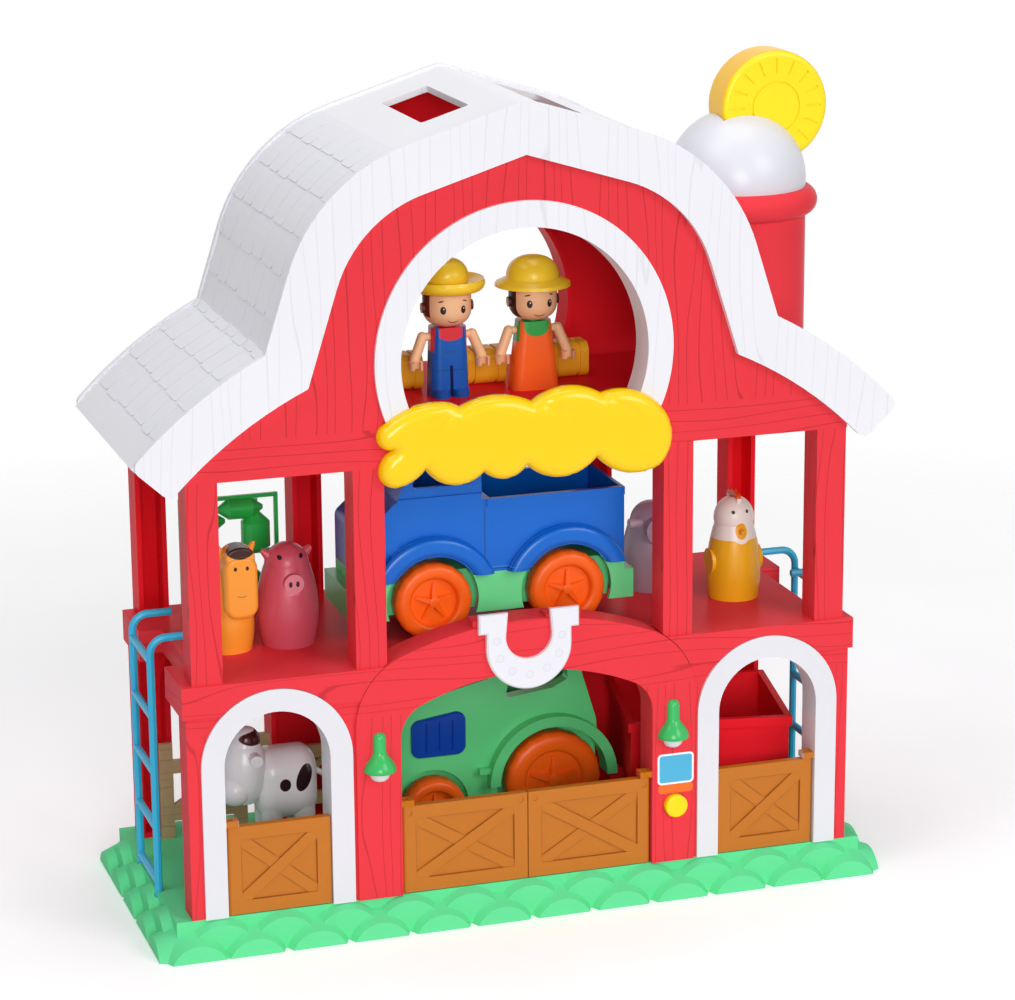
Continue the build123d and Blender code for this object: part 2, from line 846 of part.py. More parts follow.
def gate(axis_x, free_x, rising, studs):
    """A leaf from its hinge axis to its free edge. Rising is +1 or -1."""
    side = 1 if free_x > axis_x else -1
    hinge_edge = axis_x - side * gate_thickness / 2
    mid_z = gate_bottom + gate_leaf / 2
    inner_width = abs(free_x - hinge_edge) - 2 * gate_frame
    inner_height = gate_leaf - 2 * gate_frame
    inner_mid = ((hinge_edge + free_x) / 2, mid_z)
    slant = degrees(atan2(inner_height, inner_width))
    with BuildPart() as leaf:
        with Locations(((axis_x + free_x) / 2, gate_axis_y, mid_z)):
            Box(abs(free_x - axis_x), gate_thickness, gate_leaf)
        with Locations((axis_x, gate_axis_y, mid_z)):
            Cylinder(gate_thickness / 2, gate_leaf)
            Cylinder(gate_peg_radius, gate_leaf + 2 * gate_peg_length)
        for drop, slants in ((brace_drop, (rising,)), (gate_panel_drop, (rising, -rising))):
            with BuildSketch(house_plane(front_y)):
                with Locations(inner_mid):
                    Rectangle(inner_width, inner_height)
                    for way in slants:
                        Rectangle(
                            2 * inner_width, brace_width, rotation=way * slant, mode=Mode.SUBTRACT
                        )
            extrude(amount=-drop, mode=Mode.SUBTRACT)
        with BuildSketch(house_plane(front_y + gate_thickness)):
            with Locations(inner_mid):
                Rectangle(inner_width, inner_height)
        extrude(amount=gate_panel_drop, mode=Mode.SUBTRACT)
        if studs:
            stud_inset = gate_frame / 2
            with BuildSketch(house_plane(front_y)):
                with Locations(
                    (free_x - side * stud_inset, gate_bottom + gate_leaf - stud_inset),
                    (hinge_edge + side * stud_inset, gate_bottom + gate_leaf - stud_inset),
                ):
                    Circle(stud_radius)
            extrude(amount=-brace_drop, mode=Mode.SUBTRACT)
    return leaf.part


side_free_x = side_door_x - side_door_half + gate_gap
centre_free_x = gate_gap / 2
save(gate(gate_axes[0], -side_free_x, 1, False), "left_gate")
save(gate(gate_axes[1], -centre_free_x, 1, True), "centre_left_gate")
save(gate(gate_axes[2], centre_free_x, -1, True), "centre_right_gate")
save(gate(gate_axes[3], side_free_x, 1, False), "right_gate")

# Silo: a red tube that stands on the roof slope, with a rolled rim
silo_rim_flat = 0.5
silo_cap_z = silo_top + silo_bead - silo_rim_flat
bead_ring = silo_radius - 1.5

with BuildPart() as silo_tower:
    with BuildSketch(Plane.XY.offset(deck_z)):
        with Locations((silo_x, silo_y)):
            Circle(silo_radius)
    extrude(amount=silo_cap_z - deck_z)
    with Locations((silo_x, silo_y, silo_top)):
        Torus(bead_ring, silo_bead)
    with BuildSketch(Plane.XY.offset(silo_cap_z)):
        with Locations((silo_x, silo_y)):
            Circle(2 * silo_radius)
    extrude(amount=2 * silo_bead, mode=Mode.SUBTRACT)
    with BuildSketch(Plane.XY.offset(deck_z)):
        with Locations((silo_x, silo_y)):
            Circle(silo_radius - silo_wall)
    extrude(amount=ridge_z, mode=Mode.SUBTRACT)
    with BuildSketch(house_plane(front_y)):
        add(under_roof(roof_recess - seat_gap))
    extrude(amount=-4 * silo_radius, mode=Mode.SUBTRACT)
save(silo_tower.part, "silo_tower")

# White dome with a slot and a cradle for the sun
dome_wall = 2
dome_z = silo_top + dome_centre_rise
cradle_wall = 2
skirt_depth = 5
slot_half = sun_thickness / 2 + seat_gap

with BuildPart() as dome_void:
    with Locations((silo_x, silo_y, dome_z)):
        Sphere(dome_radius - dome_wall)
    with BuildSketch(Plane.XY.offset(sun_z - sun_radius - cradle_wall)):
        with Locations((silo_x, silo_y)):
            Rectangle(2 * dome_radius, 2 * (slot_half + cradle_wall))
    extrude(amount=dome_radius, mode=Mode.SUBTRACT)
    with BuildSketch(Plane.XY.offset(silo_cap_z + dome_wall)):
        with Locations((silo_x, silo_y)):
            Circle(2 * dome_radius)
    extrude(amount=-2 * dome_radius, mode=Mode.SUBTRACT)

with BuildPart() as silo_dome:
    with Locations((silo_x, silo_y, dome_z)):
        Sphere(dome_radius)
    with BuildSketch(Plane.XY.offset(silo_cap_z)):
        with Locations((silo_x, silo_y)):
            Circle(2 * dome_radius)
    extrude(amount=-2 * dome_radius, mode=Mode.SUBTRACT)
    with BuildSketch(Plane.XY.offset(silo_cap_z - skirt_depth)):
        with Locations((silo_x, silo_y)):
            Circle(silo_radius - silo_wall - seat_gap)
    extrude(amount=skirt_depth + dome_wall)
    add(dome_void.part, mode=Mode.SUBTRACT)
    with BuildSketch(Plane.XY.offset(silo_cap_z - skirt_depth)):
        with Locations((silo_x, silo_y)):
            Circle(silo_radius - silo_wall - seat_gap - dome_wall)
    extrude(amount=skirt_depth + 2 * dome_wall, mode=Mode.SUBTRACT)
    with BuildSketch(house_plane(silo_y - slot_half)):
        with Locations((sun_x, sun_z)):
            Circle(sun_radius + seat_gap)
    extrude(amount=-2 * slot_half, mode=Mode.SUBTRACT)
save(silo_dome.part, "silo_dome")

# Sun: a thick disc with rays and a raised middle on both faces
sun_rays = 16
sun_middle = 13.5
ray_width = 1.2
ray_depth = 0.8

with BuildPart() as sun:
    with BuildSketch(house_plane(silo_y - sun_thickness / 2)):
        with Locations((sun_x, sun_z)):
            Circle(sun_radius)
    extrude(amount=-sun_thickness)
    fillet(sun.edges(), 3)
    for facing in (-1, 1):
        with BuildSketch(house_plane(silo_y + facing * sun_thickness / 2, facing)):
            with Locations((-facing * sun_x, sun_z)):
                with PolarLocations((sun_middle + sun_radius) / 2, sun_rays):
                    Rectangle((sun_radius - sun_middle) / 2, ray_width)
                Circle(sun_middle)
                Circle(sun_middle - ray_width, mode=Mode.SUBTRACT)
        extrude(amount=-ray_depth, mode=Mode.SUBTRACT)
save(sun.part, "sun")

# Ladders hooked over the deck's ends, feet in the base
ladder_bend = 8

with BuildPart() as ladders:
    for side in (-1, 1):
        for rail_y in (ladder_front_y, ladder_rear_y):
            with BuildLine() as rail:
                FilletPolyline(
                    (side * ladder_x, rail_y, ladder_foot),
                    (side * ladder_x, rail_y, ladder_top),
                    (side * (ladder_x - ladder_arm), rail_y, ladder_top),
                    radius=ladder_bend,
                )
            with BuildSketch(Plane.XY.offset(ladder_foot)):
                with Locations((side * ladder_x, rail_y)):
                    RegularPolygon(ladder_rail_radius, 8)
            sweep(path=rail.line)
        for i in range(ladder_rungs):
            with BuildSketch(Plane.XZ.offset(-ladder_front_y)):
                with Locations((side * ladder_x, ladder_first_rung + i * ladder_rung_step)):
                    RegularPolygon(ladder_rail_radius, 8)
            extrude(amount=-(ladder_rear_y - ladder_front_y))
save(ladders.part, "ladders")

# Wheels shared by the vehicles: moulded tyre, sunk face and five spokes
tyre_sides = 18
spokes = 5
vehicle_half = 30


def wheel(x, y, z, radius, width, facing):
    """A wheel whose outer face is at y. Facing -1 looks to the viewer."""
    sunk = 0.72 * radius
    hub = 0.26 * radius
    with BuildPart() as made:
        with BuildSketch(house_plane(y, facing)):
            with Locations((-facing * x, z)):
                RegularPolygon(radius, tyre_sides)
        extrude(amount=-width)
        chamfer(made.faces().filter_by(Axis.Y).edges(), 0.08 * radius)
        with BuildSketch(house_plane(y, facing)):
            with Locations((-facing * x, z)):
                Circle(sunk)
                with PolarLocations(sunk / 2, spokes, start_angle=90):
                    Rectangle(1.1 * sunk, 0.3 * sunk, mode=Mode.SUBTRACT)
                Circle(hub + 1, mode=Mode.SUBTRACT)
        extrude(amount=-width / 3, mode=Mode.SUBTRACT)
        with BuildSketch(house_plane(y, facing)):
            with Locations((-facing * x, z)):
                Circle(hub)
        extrude(amount=-2)
        with BuildSketch(house_plane(y - facing * width, facing)):
            with Locations((-facing * x, z)):
                Circle(axle_radius)
        extrude(amount=width - 2, mode=Mode.SUBTRACT)
    return made.part


def wheel_pair(x, mid_y, z, radius, width, half):
    with BuildPart() as pair:
        add(wheel(x, mid_y - half, z, radius, width, -1))
        add(wheel(x, mid_y + half, z, radius, width, 1))
    return pair.part


def axle(x, mid_y, z, half):
    """Plain rod that ends inside the two wheels' hubs."""
    with BuildPart() as rod:
        with BuildSketch(house_plane(mid_y - half + 2)):
            with Locations((x, z)):
                Circle(axle_radius)
        extrude(amount=-(2 * half - 4))
    return rod.part


# Pick-up truck on the middle deck, nose to the left
truck_y = -9
truck_wheel_radius = 20
truck_wheel_width = 12
truck_front_x = -38
truck_rear_x = 32.5
truck_axle_z = deck_z + truck_wheel_radius
truck_well = 24
truck_fender = 34
truck_fender_top = 31
truck_half = 26
truck_sill = 170.5
truck_frame_z = 150
truck_nose_x = -74
truck_tail_x = 63.5
truck_bumper = 6
truck_bed_x = -9.4
truck_bed_floor = 184
truck_bed_rim = 208.5
truck_hood_z = 195
truck_belt_z = 211
truck_roof_z = 234
cab_front_x = -56
cab_rear_x = -12
truck_wall = 2
wheel_space = 1.5
truck_core = vehicle_half - truck_wheel_width - wheel_space


def truck_wells(plane_y, depth, radius):
    """Wheel arches at both axles, cut into the part in work."""
    with BuildSketch(house_plane(plane_y)) as arches:
        with Locations((truck_front_x, truck_axle_z), (truck_rear_x, truck_axle_z)):
            Circle(radius)
    extrude(arches.sketch, amount=-depth, mode=Mode.SUBTRACT)


def cab_profile(inset=0):
    """Side view of the truck's hood and cab, as a sketch of its own."""
    with BuildSketch() as area:
        with BuildLine():
            FilletPolyline(
                (truck_nose_x, truck_sill),
                (truck_nose_x, truck_hood_z),
                (cab_front_x, truck_belt_z),
                (cab_front_x + 10, truck_roof_z),
                (cab_rear_x, truck_roof_z),
                (cab_rear_x, truck_sill),
                radius=[5, 5, 5, 3],
            )
            Line((cab_rear_x, truck_sill), (truck_nose_x, truck_sill))
        make_face()
        if inset:
            offset(amount=-inset, kind=Kind.INTERSECTION, mode=Mode.REPLACE)
            with Locations(((truck_nose_x + cab_rear_x) / 2, truck_sill)):
                Rectangle(cab_rear_x - truck_nose_x - 2 * inset, 4 * inset)
    return area.sketch


near_y = truck_y - truck_half
with BuildPart() as truck_body:
    with BuildSketch(house_plane(near_y)):
        add(cab_profile())
        with Locations(((cab_rear_x + truck_tail_x) / 2, (truck_sill + truck_bed_rim) / 2)):
            Rectangle(truck_tail_x - cab_rear_x, truck_bed_rim - truck_sill)
    extrude(amount=-2 * truck_half)
    with BuildSketch(house_plane(near_y + truck_wall)):
        add(cab_profile(truck_wall))
    extrude(amount=-2 * (truck_half - truck_wall), mode=Mode.SUBTRACT)
    with Locations(((truck_bed_x + truck_tail_x) / 2, truck_y, truck_bed_floor)):
        Box(
            truck_tail_x - truck_bed_x - 2 * truck_wall,
            2 * (truck_half - truck_wall),
            truck_belt_z - truck_bed_floor,
            align=(Align.CENTER, Align.CENTER, Align.MIN),
            mode=Mode.SUBTRACT,
        )
    with Locations(((cab_rear_x + truck_tail_x) / 2, truck_y, truck_bed_floor - truck_wall)):
        Box(
            truck_tail_x - cab_rear_x - 2 * truck_wall,
            2 * (truck_half - truck_wall),
            truck_bed_floor,
            align=(Align.CENTER, Align.CENTER, Align.MAX),
            mode=Mode.SUBTRACT,
        )
    with BuildSketch(house_plane(near_y)):
        with Locations(((truck_bed_x + truck_tail_x) / 2, truck_bed_rim - 2)):
            Rectangle(truck_tail_x - truck_bed_x, 4)
        with Locations(((cab_front_x + cab_rear_x) / 2, truck_belt_z)):
            Rectangle(cab_rear_x - cab_front_x, 2)
    extrude(amount=1)
    mirror(about=Plane.XZ.offset(-truck_y))
    with BuildSketch(house_plane(truck_y - vehicle_half)):
        with Locations((truck_front_x, truck_axle_z), (truck_rear_x, truck_axle_z)):
            Circle(truck_fender)
        with Locations((0, truck_sill)):
            Rectangle(
                4 * vehicle_half,
                truck_fender,
                align=(Align.CENTER, Align.MIN),
                mode=Mode.INTERSECT,
            )
    extrude(amount=-(vehicle_half - truck_half + truck_wall))
    mirror(about=Plane.XZ.offset(-truck_y))
    fender_faces = truck_body.faces().filter_by(Axis.Y).group_by(Axis.Y)
    chamfer(fender_faces[0].edges() + fender_faces[-1].edges(), 1.5)
    truck_wells(truck_y - 2 * vehicle_half, 2 * vehicle_half - truck_core, truck_well)
    truck_wells(truck_y + truck_core, 2 * vehicle_half, truck_well)
    with BuildSketch(house_plane(truck_y - 2 * vehicle_half)):
        with BuildLine():
            FilletPolyline(
                (cab_front_x + 7, truck_belt_z + 6),
                (cab_front_x + 13, truck_roof_z - 5),
                (cab_rear_x - 5, truck_roof_z - 5),
                (cab_rear_x - 5, truck_belt_z + 6),
                radius=2,
                close=True,
            )
        make_face()
    extrude(amount=-4 * vehicle_half, mode=Mode.SUBTRACT)
save(truck_body.part, "truck_body")

with BuildPart() as truck_chassis:
    with Locations(((truck_nose_x + truck_tail_x) / 2, truck_y, truck_frame_z)):
        Box(
            truck_tail_x - truck_nose_x,
            2 * truck_half,
            truck_sill - truck_frame_z,
            align=(Align.CENTER, Align.CENTER, Align.MIN),
        )
    with Locations((truck_nose_x - truck_bumper / 2, truck_y), (truck_tail_x + truck_bumper / 3, truck_y)):
        with Locations((0, 0, truck_frame_z)):
            Box(truck_bumper, 2 * truck_half, 15, align=(Align.CENTER, Align.CENTER, Align.MIN))
    with Locations(((truck_nose_x + truck_tail_x) / 2, truck_y, truck_frame_z)):
        Box(
            truck_tail_x - truck_nose_x - 2 * truck_wall,
            2 * (truck_half - truck_wall),
            truck_sill - truck_frame_z - truck_wall,
            align=(Align.CENTER, Align.CENTER, Align.MIN),
            mode=Mode.SUBTRACT,
        )
    with BuildSketch(house_plane(truck_y - truck_core)):
        with Locations((truck_front_x, truck_axle_z), (truck_rear_x, truck_axle_z)):
            Circle(truck_well + truck_wall)
        with Locations((0, truck_frame_z)):
            Rectangle(
                4 * vehicle_half,
                truck_sill - truck_frame_z,
                align=(Align.CENTER, Align.MIN),
                mode=Mode.INTERSECT,
            )
    extrude(amount=-2 * truck_core)
    with Locations(((truck_front_x + truck_rear_x) / 2, truck_y, truck_frame_z)):
        Box(
            truck_rear_x - truck_front_x + 2 * truck_well,
            2 * (truck_core - truck_wall),
            truck_sill - truck_frame_z - truck_wall,
            align=(Align.CENTER, Align.CENTER, Align.MIN),
            mode=Mode.SUBTRACT,
        )
    truck_wells(truck_y - 2 * vehicle_half, 2 * vehicle_half - truck_core, truck_well)
    truck_wells(truck_y + truck_core, 2 * vehicle_half, truck_well)
    truck_wells(truck_y - 2 * vehicle_half, 4 * vehicle_half, axle_radius + running_gap)
save(truck_chassis.part, "truck_chassis")

for spot, label in ((truck_front_x, "truck_front"), (truck_rear_x, "truck_rear")):
    pair = wheel_pair(
        spot, truck_y, truck_axle_z, truck_wheel_radius, truck_wheel_width, vehicle_half
    )
    save(pair, label + "_wheels")
    save(axle(spot, truck_y, truck_axle_z, vehicle_half), label + "_axle")

# Tractor on the base floor, nose to the left
tractor_y = 20
tractor_rear_x = 36
tractor_rear_radius = 26
tractor_front_x = -29
tractor_front_radius = 17
tractor_wheel_half = 26
tractor_wheel_width = 12
tractor_core = tractor_wheel_half - tractor_wheel_width - wheel_space
tractor_half = 18
tractor_nose_x = -50
tractor_belly_z = 33
tractor_wall = 2
tractor_roof_z = 118
tractor_fender = 35
tractor_fender_inner = 29.5
tractor_rear_z = floor_z + tractor_rear_radius
tractor_front_z = floor_z + tractor_front_radius


def tractor_profile(inset=0):
    """Side view of the tractor, as a sketch of its own."""
    with BuildSketch() as area:
        with BuildLine():
            FilletPolyline(
                (tractor_nose_x, tractor_belly_z),
                (tractor_nose_x, 84),
                (-38, 92),
                (4, 102),
                (12, tractor_roof_z),
                (48, tractor_roof_z),
                (61.5, 73),
                (64, tractor_belly_z),
                radius=[6, 8, 4, 4, 5, 4],
            )
            Line((64, tractor_belly_z), (tractor_nose_x, tractor_belly_z))
        make_face()
        if inset:
            offset(amount=-inset, kind=Kind.INTERSECTION, mode=Mode.REPLACE)
            with Locations((0, tractor_belly_z)):
                Rectangle(2 * abs(tractor_nose_x + inset), 4 * inset)
    return area.sketch


def tractor_wells(plane_y, depth, rear, front):
    """Rear and front wheel arches, cut into the part in work."""
    with BuildSketch(house_plane(plane_y)) as arches:
        with Locations((tractor_rear_x, tractor_rear_z)):
            Circle(rear)
        with Locations((tractor_front_x, tractor_front_z)):
            Circle(front)
    extrude(arches.sketch, amount=-depth, mode=Mode.SUBTRACT)


vent_left = -40
vent_right = -10.6
vent_bottom = 62.5
vent_top = 84.5
vent_depth = 2
with BuildPart() as tractor_body:
    with BuildSketch(house_plane(tractor_y - tractor_half)):
        add(tractor_profile())
    extrude(amount=-2 * tractor_half)
    with BuildSketch(house_plane(tractor_y - tractor_core)):
        with Locations((tractor_rear_x, tractor_rear_z)):
            Circle(tractor_fender)
        with Locations((tractor_rear_x, tractor_rear_z)):
            Rectangle(
                3 * tractor_fender,
                tractor_fender,
                align=(Align.CENTER, Align.MIN),
                mode=Mode.INTERSECT,
            )
    extrude(amount=tractor_wheel_half - tractor_core - 1)
    mirror(about=Plane.XZ.offset(-tractor_y))
    tractor_wells(
        tractor_y - 2 * vehicle_half,
        2 * vehicle_half - tractor_core,
        tractor_fender_inner,
        tractor_front_radius + 3,
    )
    tractor_wells(
        tractor_y + tractor_core,
        2 * vehicle_half,
        tractor_fender_inner,
        tractor_front_radius + 3,
    )
    with BuildSketch(house_plane(tractor_y - tractor_core + tractor_wall)):
        add(tractor_profile(tractor_wall))
    extrude(amount=-2 * (tractor_core - tractor_wall), mode=Mode.SUBTRACT)
    with BuildSketch(house_plane(tractor_y - tractor_half)):
        with BuildLine():
            FilletPolyline(
                (11.4, 89.7),
                (37.3, 92.8),
                (46, 97),
                (44, tractor_roof_z - 5),
                (16, tractor_roof_z - 5),
                radius=2,
                close=True,
            )
        make_face()
    extrude(amount=-2 * tractor_half, mode=Mode.SUBTRACT)
    with BuildSketch(house_plane(tractor_y - tractor_half)):
        with Locations((1, 52)):
            Rectangle(10, 3)
    extrude(amount=4)
    mirror(about=Plane.XZ.offset(-tractor_y))
    tractor_wells(
        tractor_y - 2 * vehicle_half,
        4 * vehicle_half,
        axle_radius + running_gap,
        axle_radius + running_gap,
    )
save(tractor_body.part, "tractor_body")

with BuildPart() as tractor_vents:
    with BuildSketch(house_plane(tractor_y - tractor_half)):
        with BuildLine():
            FilletPolyline(
                (vent_left, vent_bottom),
                (vent_right, vent_bottom),
                (vent_right, vent_top + 2),
                (vent_left, vent_top - 2),
                radius=5,
                close=True,
            )
        make_face()
    extrude(amount=vent_depth)
    chamfer(tractor_vents.faces().sort_by(Axis.Y)[0].edges(), 0.8)
    with BuildSketch(house_plane(tractor_y - tractor_half - vent_depth)):
        with Locations(((vent_left + vent_right) / 2, (vent_bottom + vent_top) / 2)):
            with GridLocations(7, 1, 3, 1):
                Rectangle(1.2, 16)
    extrude(amount=-1, mode=Mode.SUBTRACT)
    mirror(about=Plane.XZ.offset(-tractor_y))
save(tractor_vents.part, "tractor_vents")

for spot, height, radius, label in (
    (tractor_front_x, tractor_front_z, tractor_front_radius, "tractor_front"),
    (tractor_rear_x, tractor_rear_z, tractor_rear_radius, "tractor_rear"),
):
    pair = wheel_pair(spot, tractor_y, height, radius, tractor_wheel_width, tractor_wheel_half)
    save(pair, label + "_wheels")
    save(axle(spot, tractor_y, height, tractor_wheel_half), label + "_axle")

# Trailer: an open box on one axle, turned a little on the base floor
trailer_shift = 11
trailer_x = side_door_x - trailer_shift
trailer_y = -0.5
trailer_turn = -11.3
trailer_length = 86
trailer_width = 79
trailer_floor = 46
trailer_rim = 80
trailer_wall = 2
trailer_lip = 1.5
trailer_lip_height = 5
trailer_wheel_radius = 13
trailer_wheel_width = 9
trailer_frame = 12
trailer_tongue = 6
trailer_plane = Plane(
    origin=(trailer_x, trailer_y, 0),
    x_dir=(cos(radians(trailer_turn)), sin(radians(trailer_turn)), 0),
    z_dir=(0, 0, 1),
)
trailer_mid_y = 0
trailer_wheel_half = trailer_width / 2 - 2
trailer_axle_z = floor_z + trailer_wheel_radius


def on_trailer(height):
    return trailer_plane.offset(height)


with BuildPart() as trailer_box:
    with BuildSketch(on_trailer(trailer_floor)):
        Rectangle(trailer_length - 2 * trailer_lip, trailer_width - 2 * trailer_lip)
    extrude(amount=trailer_rim - trailer_floor)
    with BuildSketch(on_trailer(trailer_rim - trailer_lip_height)):
        Rectangle(trailer_length, trailer_width)
    extrude(amount=trailer_lip_height)
    with BuildSketch(on_trailer(trailer_floor + trailer_wall)):
        inside = 2 * (trailer_lip + trailer_wall)
        Rectangle(trailer_length - inside, trailer_width - inside)
    extrude(amount=trailer_rim, mode=Mode.SUBTRACT)
    with BuildSketch(on_trailer(trailer_axle_z - 2 * axle_radius)):
        with GridLocations(1, trailer_width - 4 * trailer_frame, 1, 2):
            Rectangle(trailer_frame, 2 * trailer_wall)
    extrude(amount=trailer_floor - trailer_axle_z + 2 * axle_radius)
    with BuildSketch(on_trailer(floor_z)):
        with Locations((-trailer_length / 2 + trailer_frame, 0)):
            Rectangle(trailer_tongue, trailer_tongue)
    extrude(amount=trailer_floor - floor_z)
    with BuildSketch(on_trailer(trailer_floor - 1.5 * trailer_tongue)):
        with Locations((trailer_frame / 2 - trailer_length / 2, 0)):
            Rectangle(trailer_frame + 1.5 * trailer_tongue, trailer_tongue)
    extrude(amount=trailer_tongue)
    with Locations(trailer_plane):
        with Locations((0, 0, trailer_axle_z)):
            Cylinder(
                axle_radius + running_gap, trailer_width, rotation=(90, 0, 0), mode=Mode.SUBTRACT
            )
save(trailer_box.part, "trailer_box")

trailer_pair = wheel_pair(
    0, 0, trailer_axle_z, trailer_wheel_radius, trailer_wheel_width, trailer_wheel_half
)
save(trailer_plane.location * trailer_pair, "trailer_wheels")
save(trailer_plane.location * axle(0, 0, trailer_axle_z, trailer_wheel_half), "trailer_axle")

# Least flat at the top of a revolved crown
crown_flat = 1

# Two farmers in the loft: jointed heads and arms, hats fixed on the heads
figure_y = -9
farmer_x = -21
girl_x = 24
body_height = 35
body_half = 10
body_depth = 15
leg_gap = 1.6
foot_height = 8
head_bottom = 35.5
head_half = 12.2
head_height = 22.5
head_rounding = 8
neck_radius = 4
neck_height = 6
shoulder_z = 30
arm_radius = 2.6
arm_pin = 2
arm_reach_x = 4.5
arm_drop = 11
hand_radius = 3.6
hand_bore = 1.9
hand_width = 4
hat_line = 54
brim_half = 19.2
brim_thickness = 1.6


def figure_body(x, lower_half, upper_half, legs):
    """Body with a neck pin and two shoulder sockets."""
    with BuildPart() as body:
        with BuildSketch(Plane.XY.offset(loft_z)):
            with Locations((x, figure_y)):
                RectangleRounded(2 * lower_half, body_depth, 5)
        with BuildSketch(Plane.XY.offset(loft_z + body_height)):
            with Locations((x, figure_y)):
                RectangleRounded(2 * upper_half, body_depth - 2, 4.5)
        loft()
        if legs:
            with Locations((x, figure_y, loft_z + foot_height)):
                Box(leg_gap, 2 * body_depth, 2 * foot_height, mode=Mode.SUBTRACT)
            with Locations((x - lower_half / 2, figure_y), (x + lower_half / 2, figure_y)):
                with Locations((0, 1 - body_depth / 2, loft_z)):
                    Cylinder(lower_half / 2 - leg_gap / 2, foot_height / 2, align=(Align.CENTER, Align.CENTER, Align.MIN))
        with Locations((x, figure_y, loft_z + body_height)):
            Cylinder(neck_radius, neck_height, align=(Align.CENTER, Align.CENTER, Align.MIN))
        with Locations((x, figure_y, loft_z + shoulder_z)):
            Cylinder(arm_pin + running_gap, 4 * body_half, rotation=(0, 90, 0), mode=Mode.SUBTRACT)
            Box(2 * (upper_half - 4), body_depth / 2, 3 * arm_pin)
    return body.part


def figure_head(x):
    """Rounded head with a neck bore and ears."""
    with BuildPart() as head:
        with Locations((x, figure_y, loft_z + head_bottom + head_height / 2)):
            Cylinder(head_half, head_height, rotation=(0, 0, 90))
        fillet(head.edges().filter_by(GeomType.CIRCLE), head_rounding)
        for side in (-1, 1):
            with Locations((x + side * head_half, figure_y, loft_z + head_bottom + head_height / 2 - 2)):
                Cylinder(2.6, 2, rotation=(0, 90, 0))
        with Locations((x, figure_y, loft_z)):
            Cylinder(
                neck_radius + running_gap,
                body_height + neck_height + gate_gap,
                align=(Align.CENTER, Align.CENTER, Align.MIN),
                mode=Mode.SUBTRACT,
            )
    return head.part


def figure_hat(x, crown_half, brim_lift, hat_top, fullness):
    """Hat with a curved brim, hollow over the head."""
    rim_z = loft_z + hat_line
    round_half = head_half - head_rounding
    round_z = loft_z + head_bottom + head_height - head_rounding
    round_radius = head_rounding + seat_gap
    round_end = asin((rim_z - round_z) / round_radius)
    round_mid = (round_end + pi / 2) / 2
    hollow = [
        (round_half + round_radius * cos(turn), round_z + round_radius * sin(turn))
        for turn in (pi / 2, round_mid, round_end)
    ]
    with BuildPart() as hat:
        with BuildSketch(Plane.XZ):
            with BuildLine():
                Line((0, hollow[0][1]), hollow[0])
                ThreePointArc(*hollow)
                Line(hollow[2], (crown_half + 2, rim_z))
                ThreePointArc(
                    (crown_half + 2, rim_z),
                    ((crown_half + 2 + brim_half) / 2, rim_z - max(brim_lift, 0.9) / 3),
                    (brim_half, rim_z + brim_lift),
                )
                Line((brim_half, rim_z + brim_lift), (brim_half - 0.5, rim_z + brim_lift + brim_thickness))
                Line((brim_half - 0.5, rim_z + brim_lift + brim_thickness), (crown_half, rim_z + brim_thickness + 1))
                ThreePointArc(
                    (crown_half, rim_z + brim_thickness + 1),
                    (fullness * crown_half, loft_z + hat_top - 3),
                    (crown_flat, loft_z + hat_top),
                )
                Polyline(
                    (crown_flat, loft_z + hat_top), (0, loft_z + hat_top), (0, hollow[0][1])
                )
            make_face()
        revolve(axis=Axis.Z)
    return hat.part.moved(Location((x, figure_y, 0)))


def figure_arm(x, side, upper_half):
    """Arm with a shoulder pin and an open clip hand."""
    shoulder = (x + side * (body_half + arm_radius + seat_gap), figure_y, loft_z + shoulder_z)
    wrist = (shoulder[0] + side * arm_reach_x, figure_y - 1, shoulder[2] - arm_drop)
    with BuildPart() as arm:
        with BuildLine() as bone:
            Line(shoulder, wrist)
        with BuildSketch(Plane(origin=shoulder, z_dir=bone.line % 0)):
            Circle(arm_radius)
        sweep(path=bone.line)
        with Locations(shoulder, wrist):
            Sphere(arm_radius)
        with Locations((wrist[0], wrist[1] - arm_radius, wrist[2] - arm_radius)):
            Cylinder(hand_radius, hand_width)
            Cylinder(hand_bore, hand_width, mode=Mode.SUBTRACT)
            with Locations((0, -hand_radius, 0)):
                Box(2 * hand_bore - 0.6, 2 * hand_radius, 2 * hand_width, mode=Mode.SUBTRACT)
        with BuildSketch(Plane.YZ.offset(x + side * (upper_half - 4 + seat_gap))):
            with Locations((figure_y, loft_z + shoulder_z)):
                Circle(arm_pin)
        extrude(amount=side * (body_half + arm_radius - upper_half + 4))
    return arm.part


for name, x, lower, upper, legs, crown, lift, top, fullness in (
    ("farmer", farmer_x, body_half, 9, True, 10.2, 3.5, 69, 0.86),
    ("girl", girl_x, body_half + 2.5, 8.5, False, 13.4, -1.5, 67, 0.8),
):
    save(figure_body(x, lower, upper, legs), name + "_body")
    save(figure_head(x), name + "_head")
    save(figure_hat(x, crown, lift, top, fullness), name + "_hat")
    save(figure_arm(x, -1, upper), name + "_left_arm")
    save(figure_arm(x, 1, upper), name + "_right_arm")


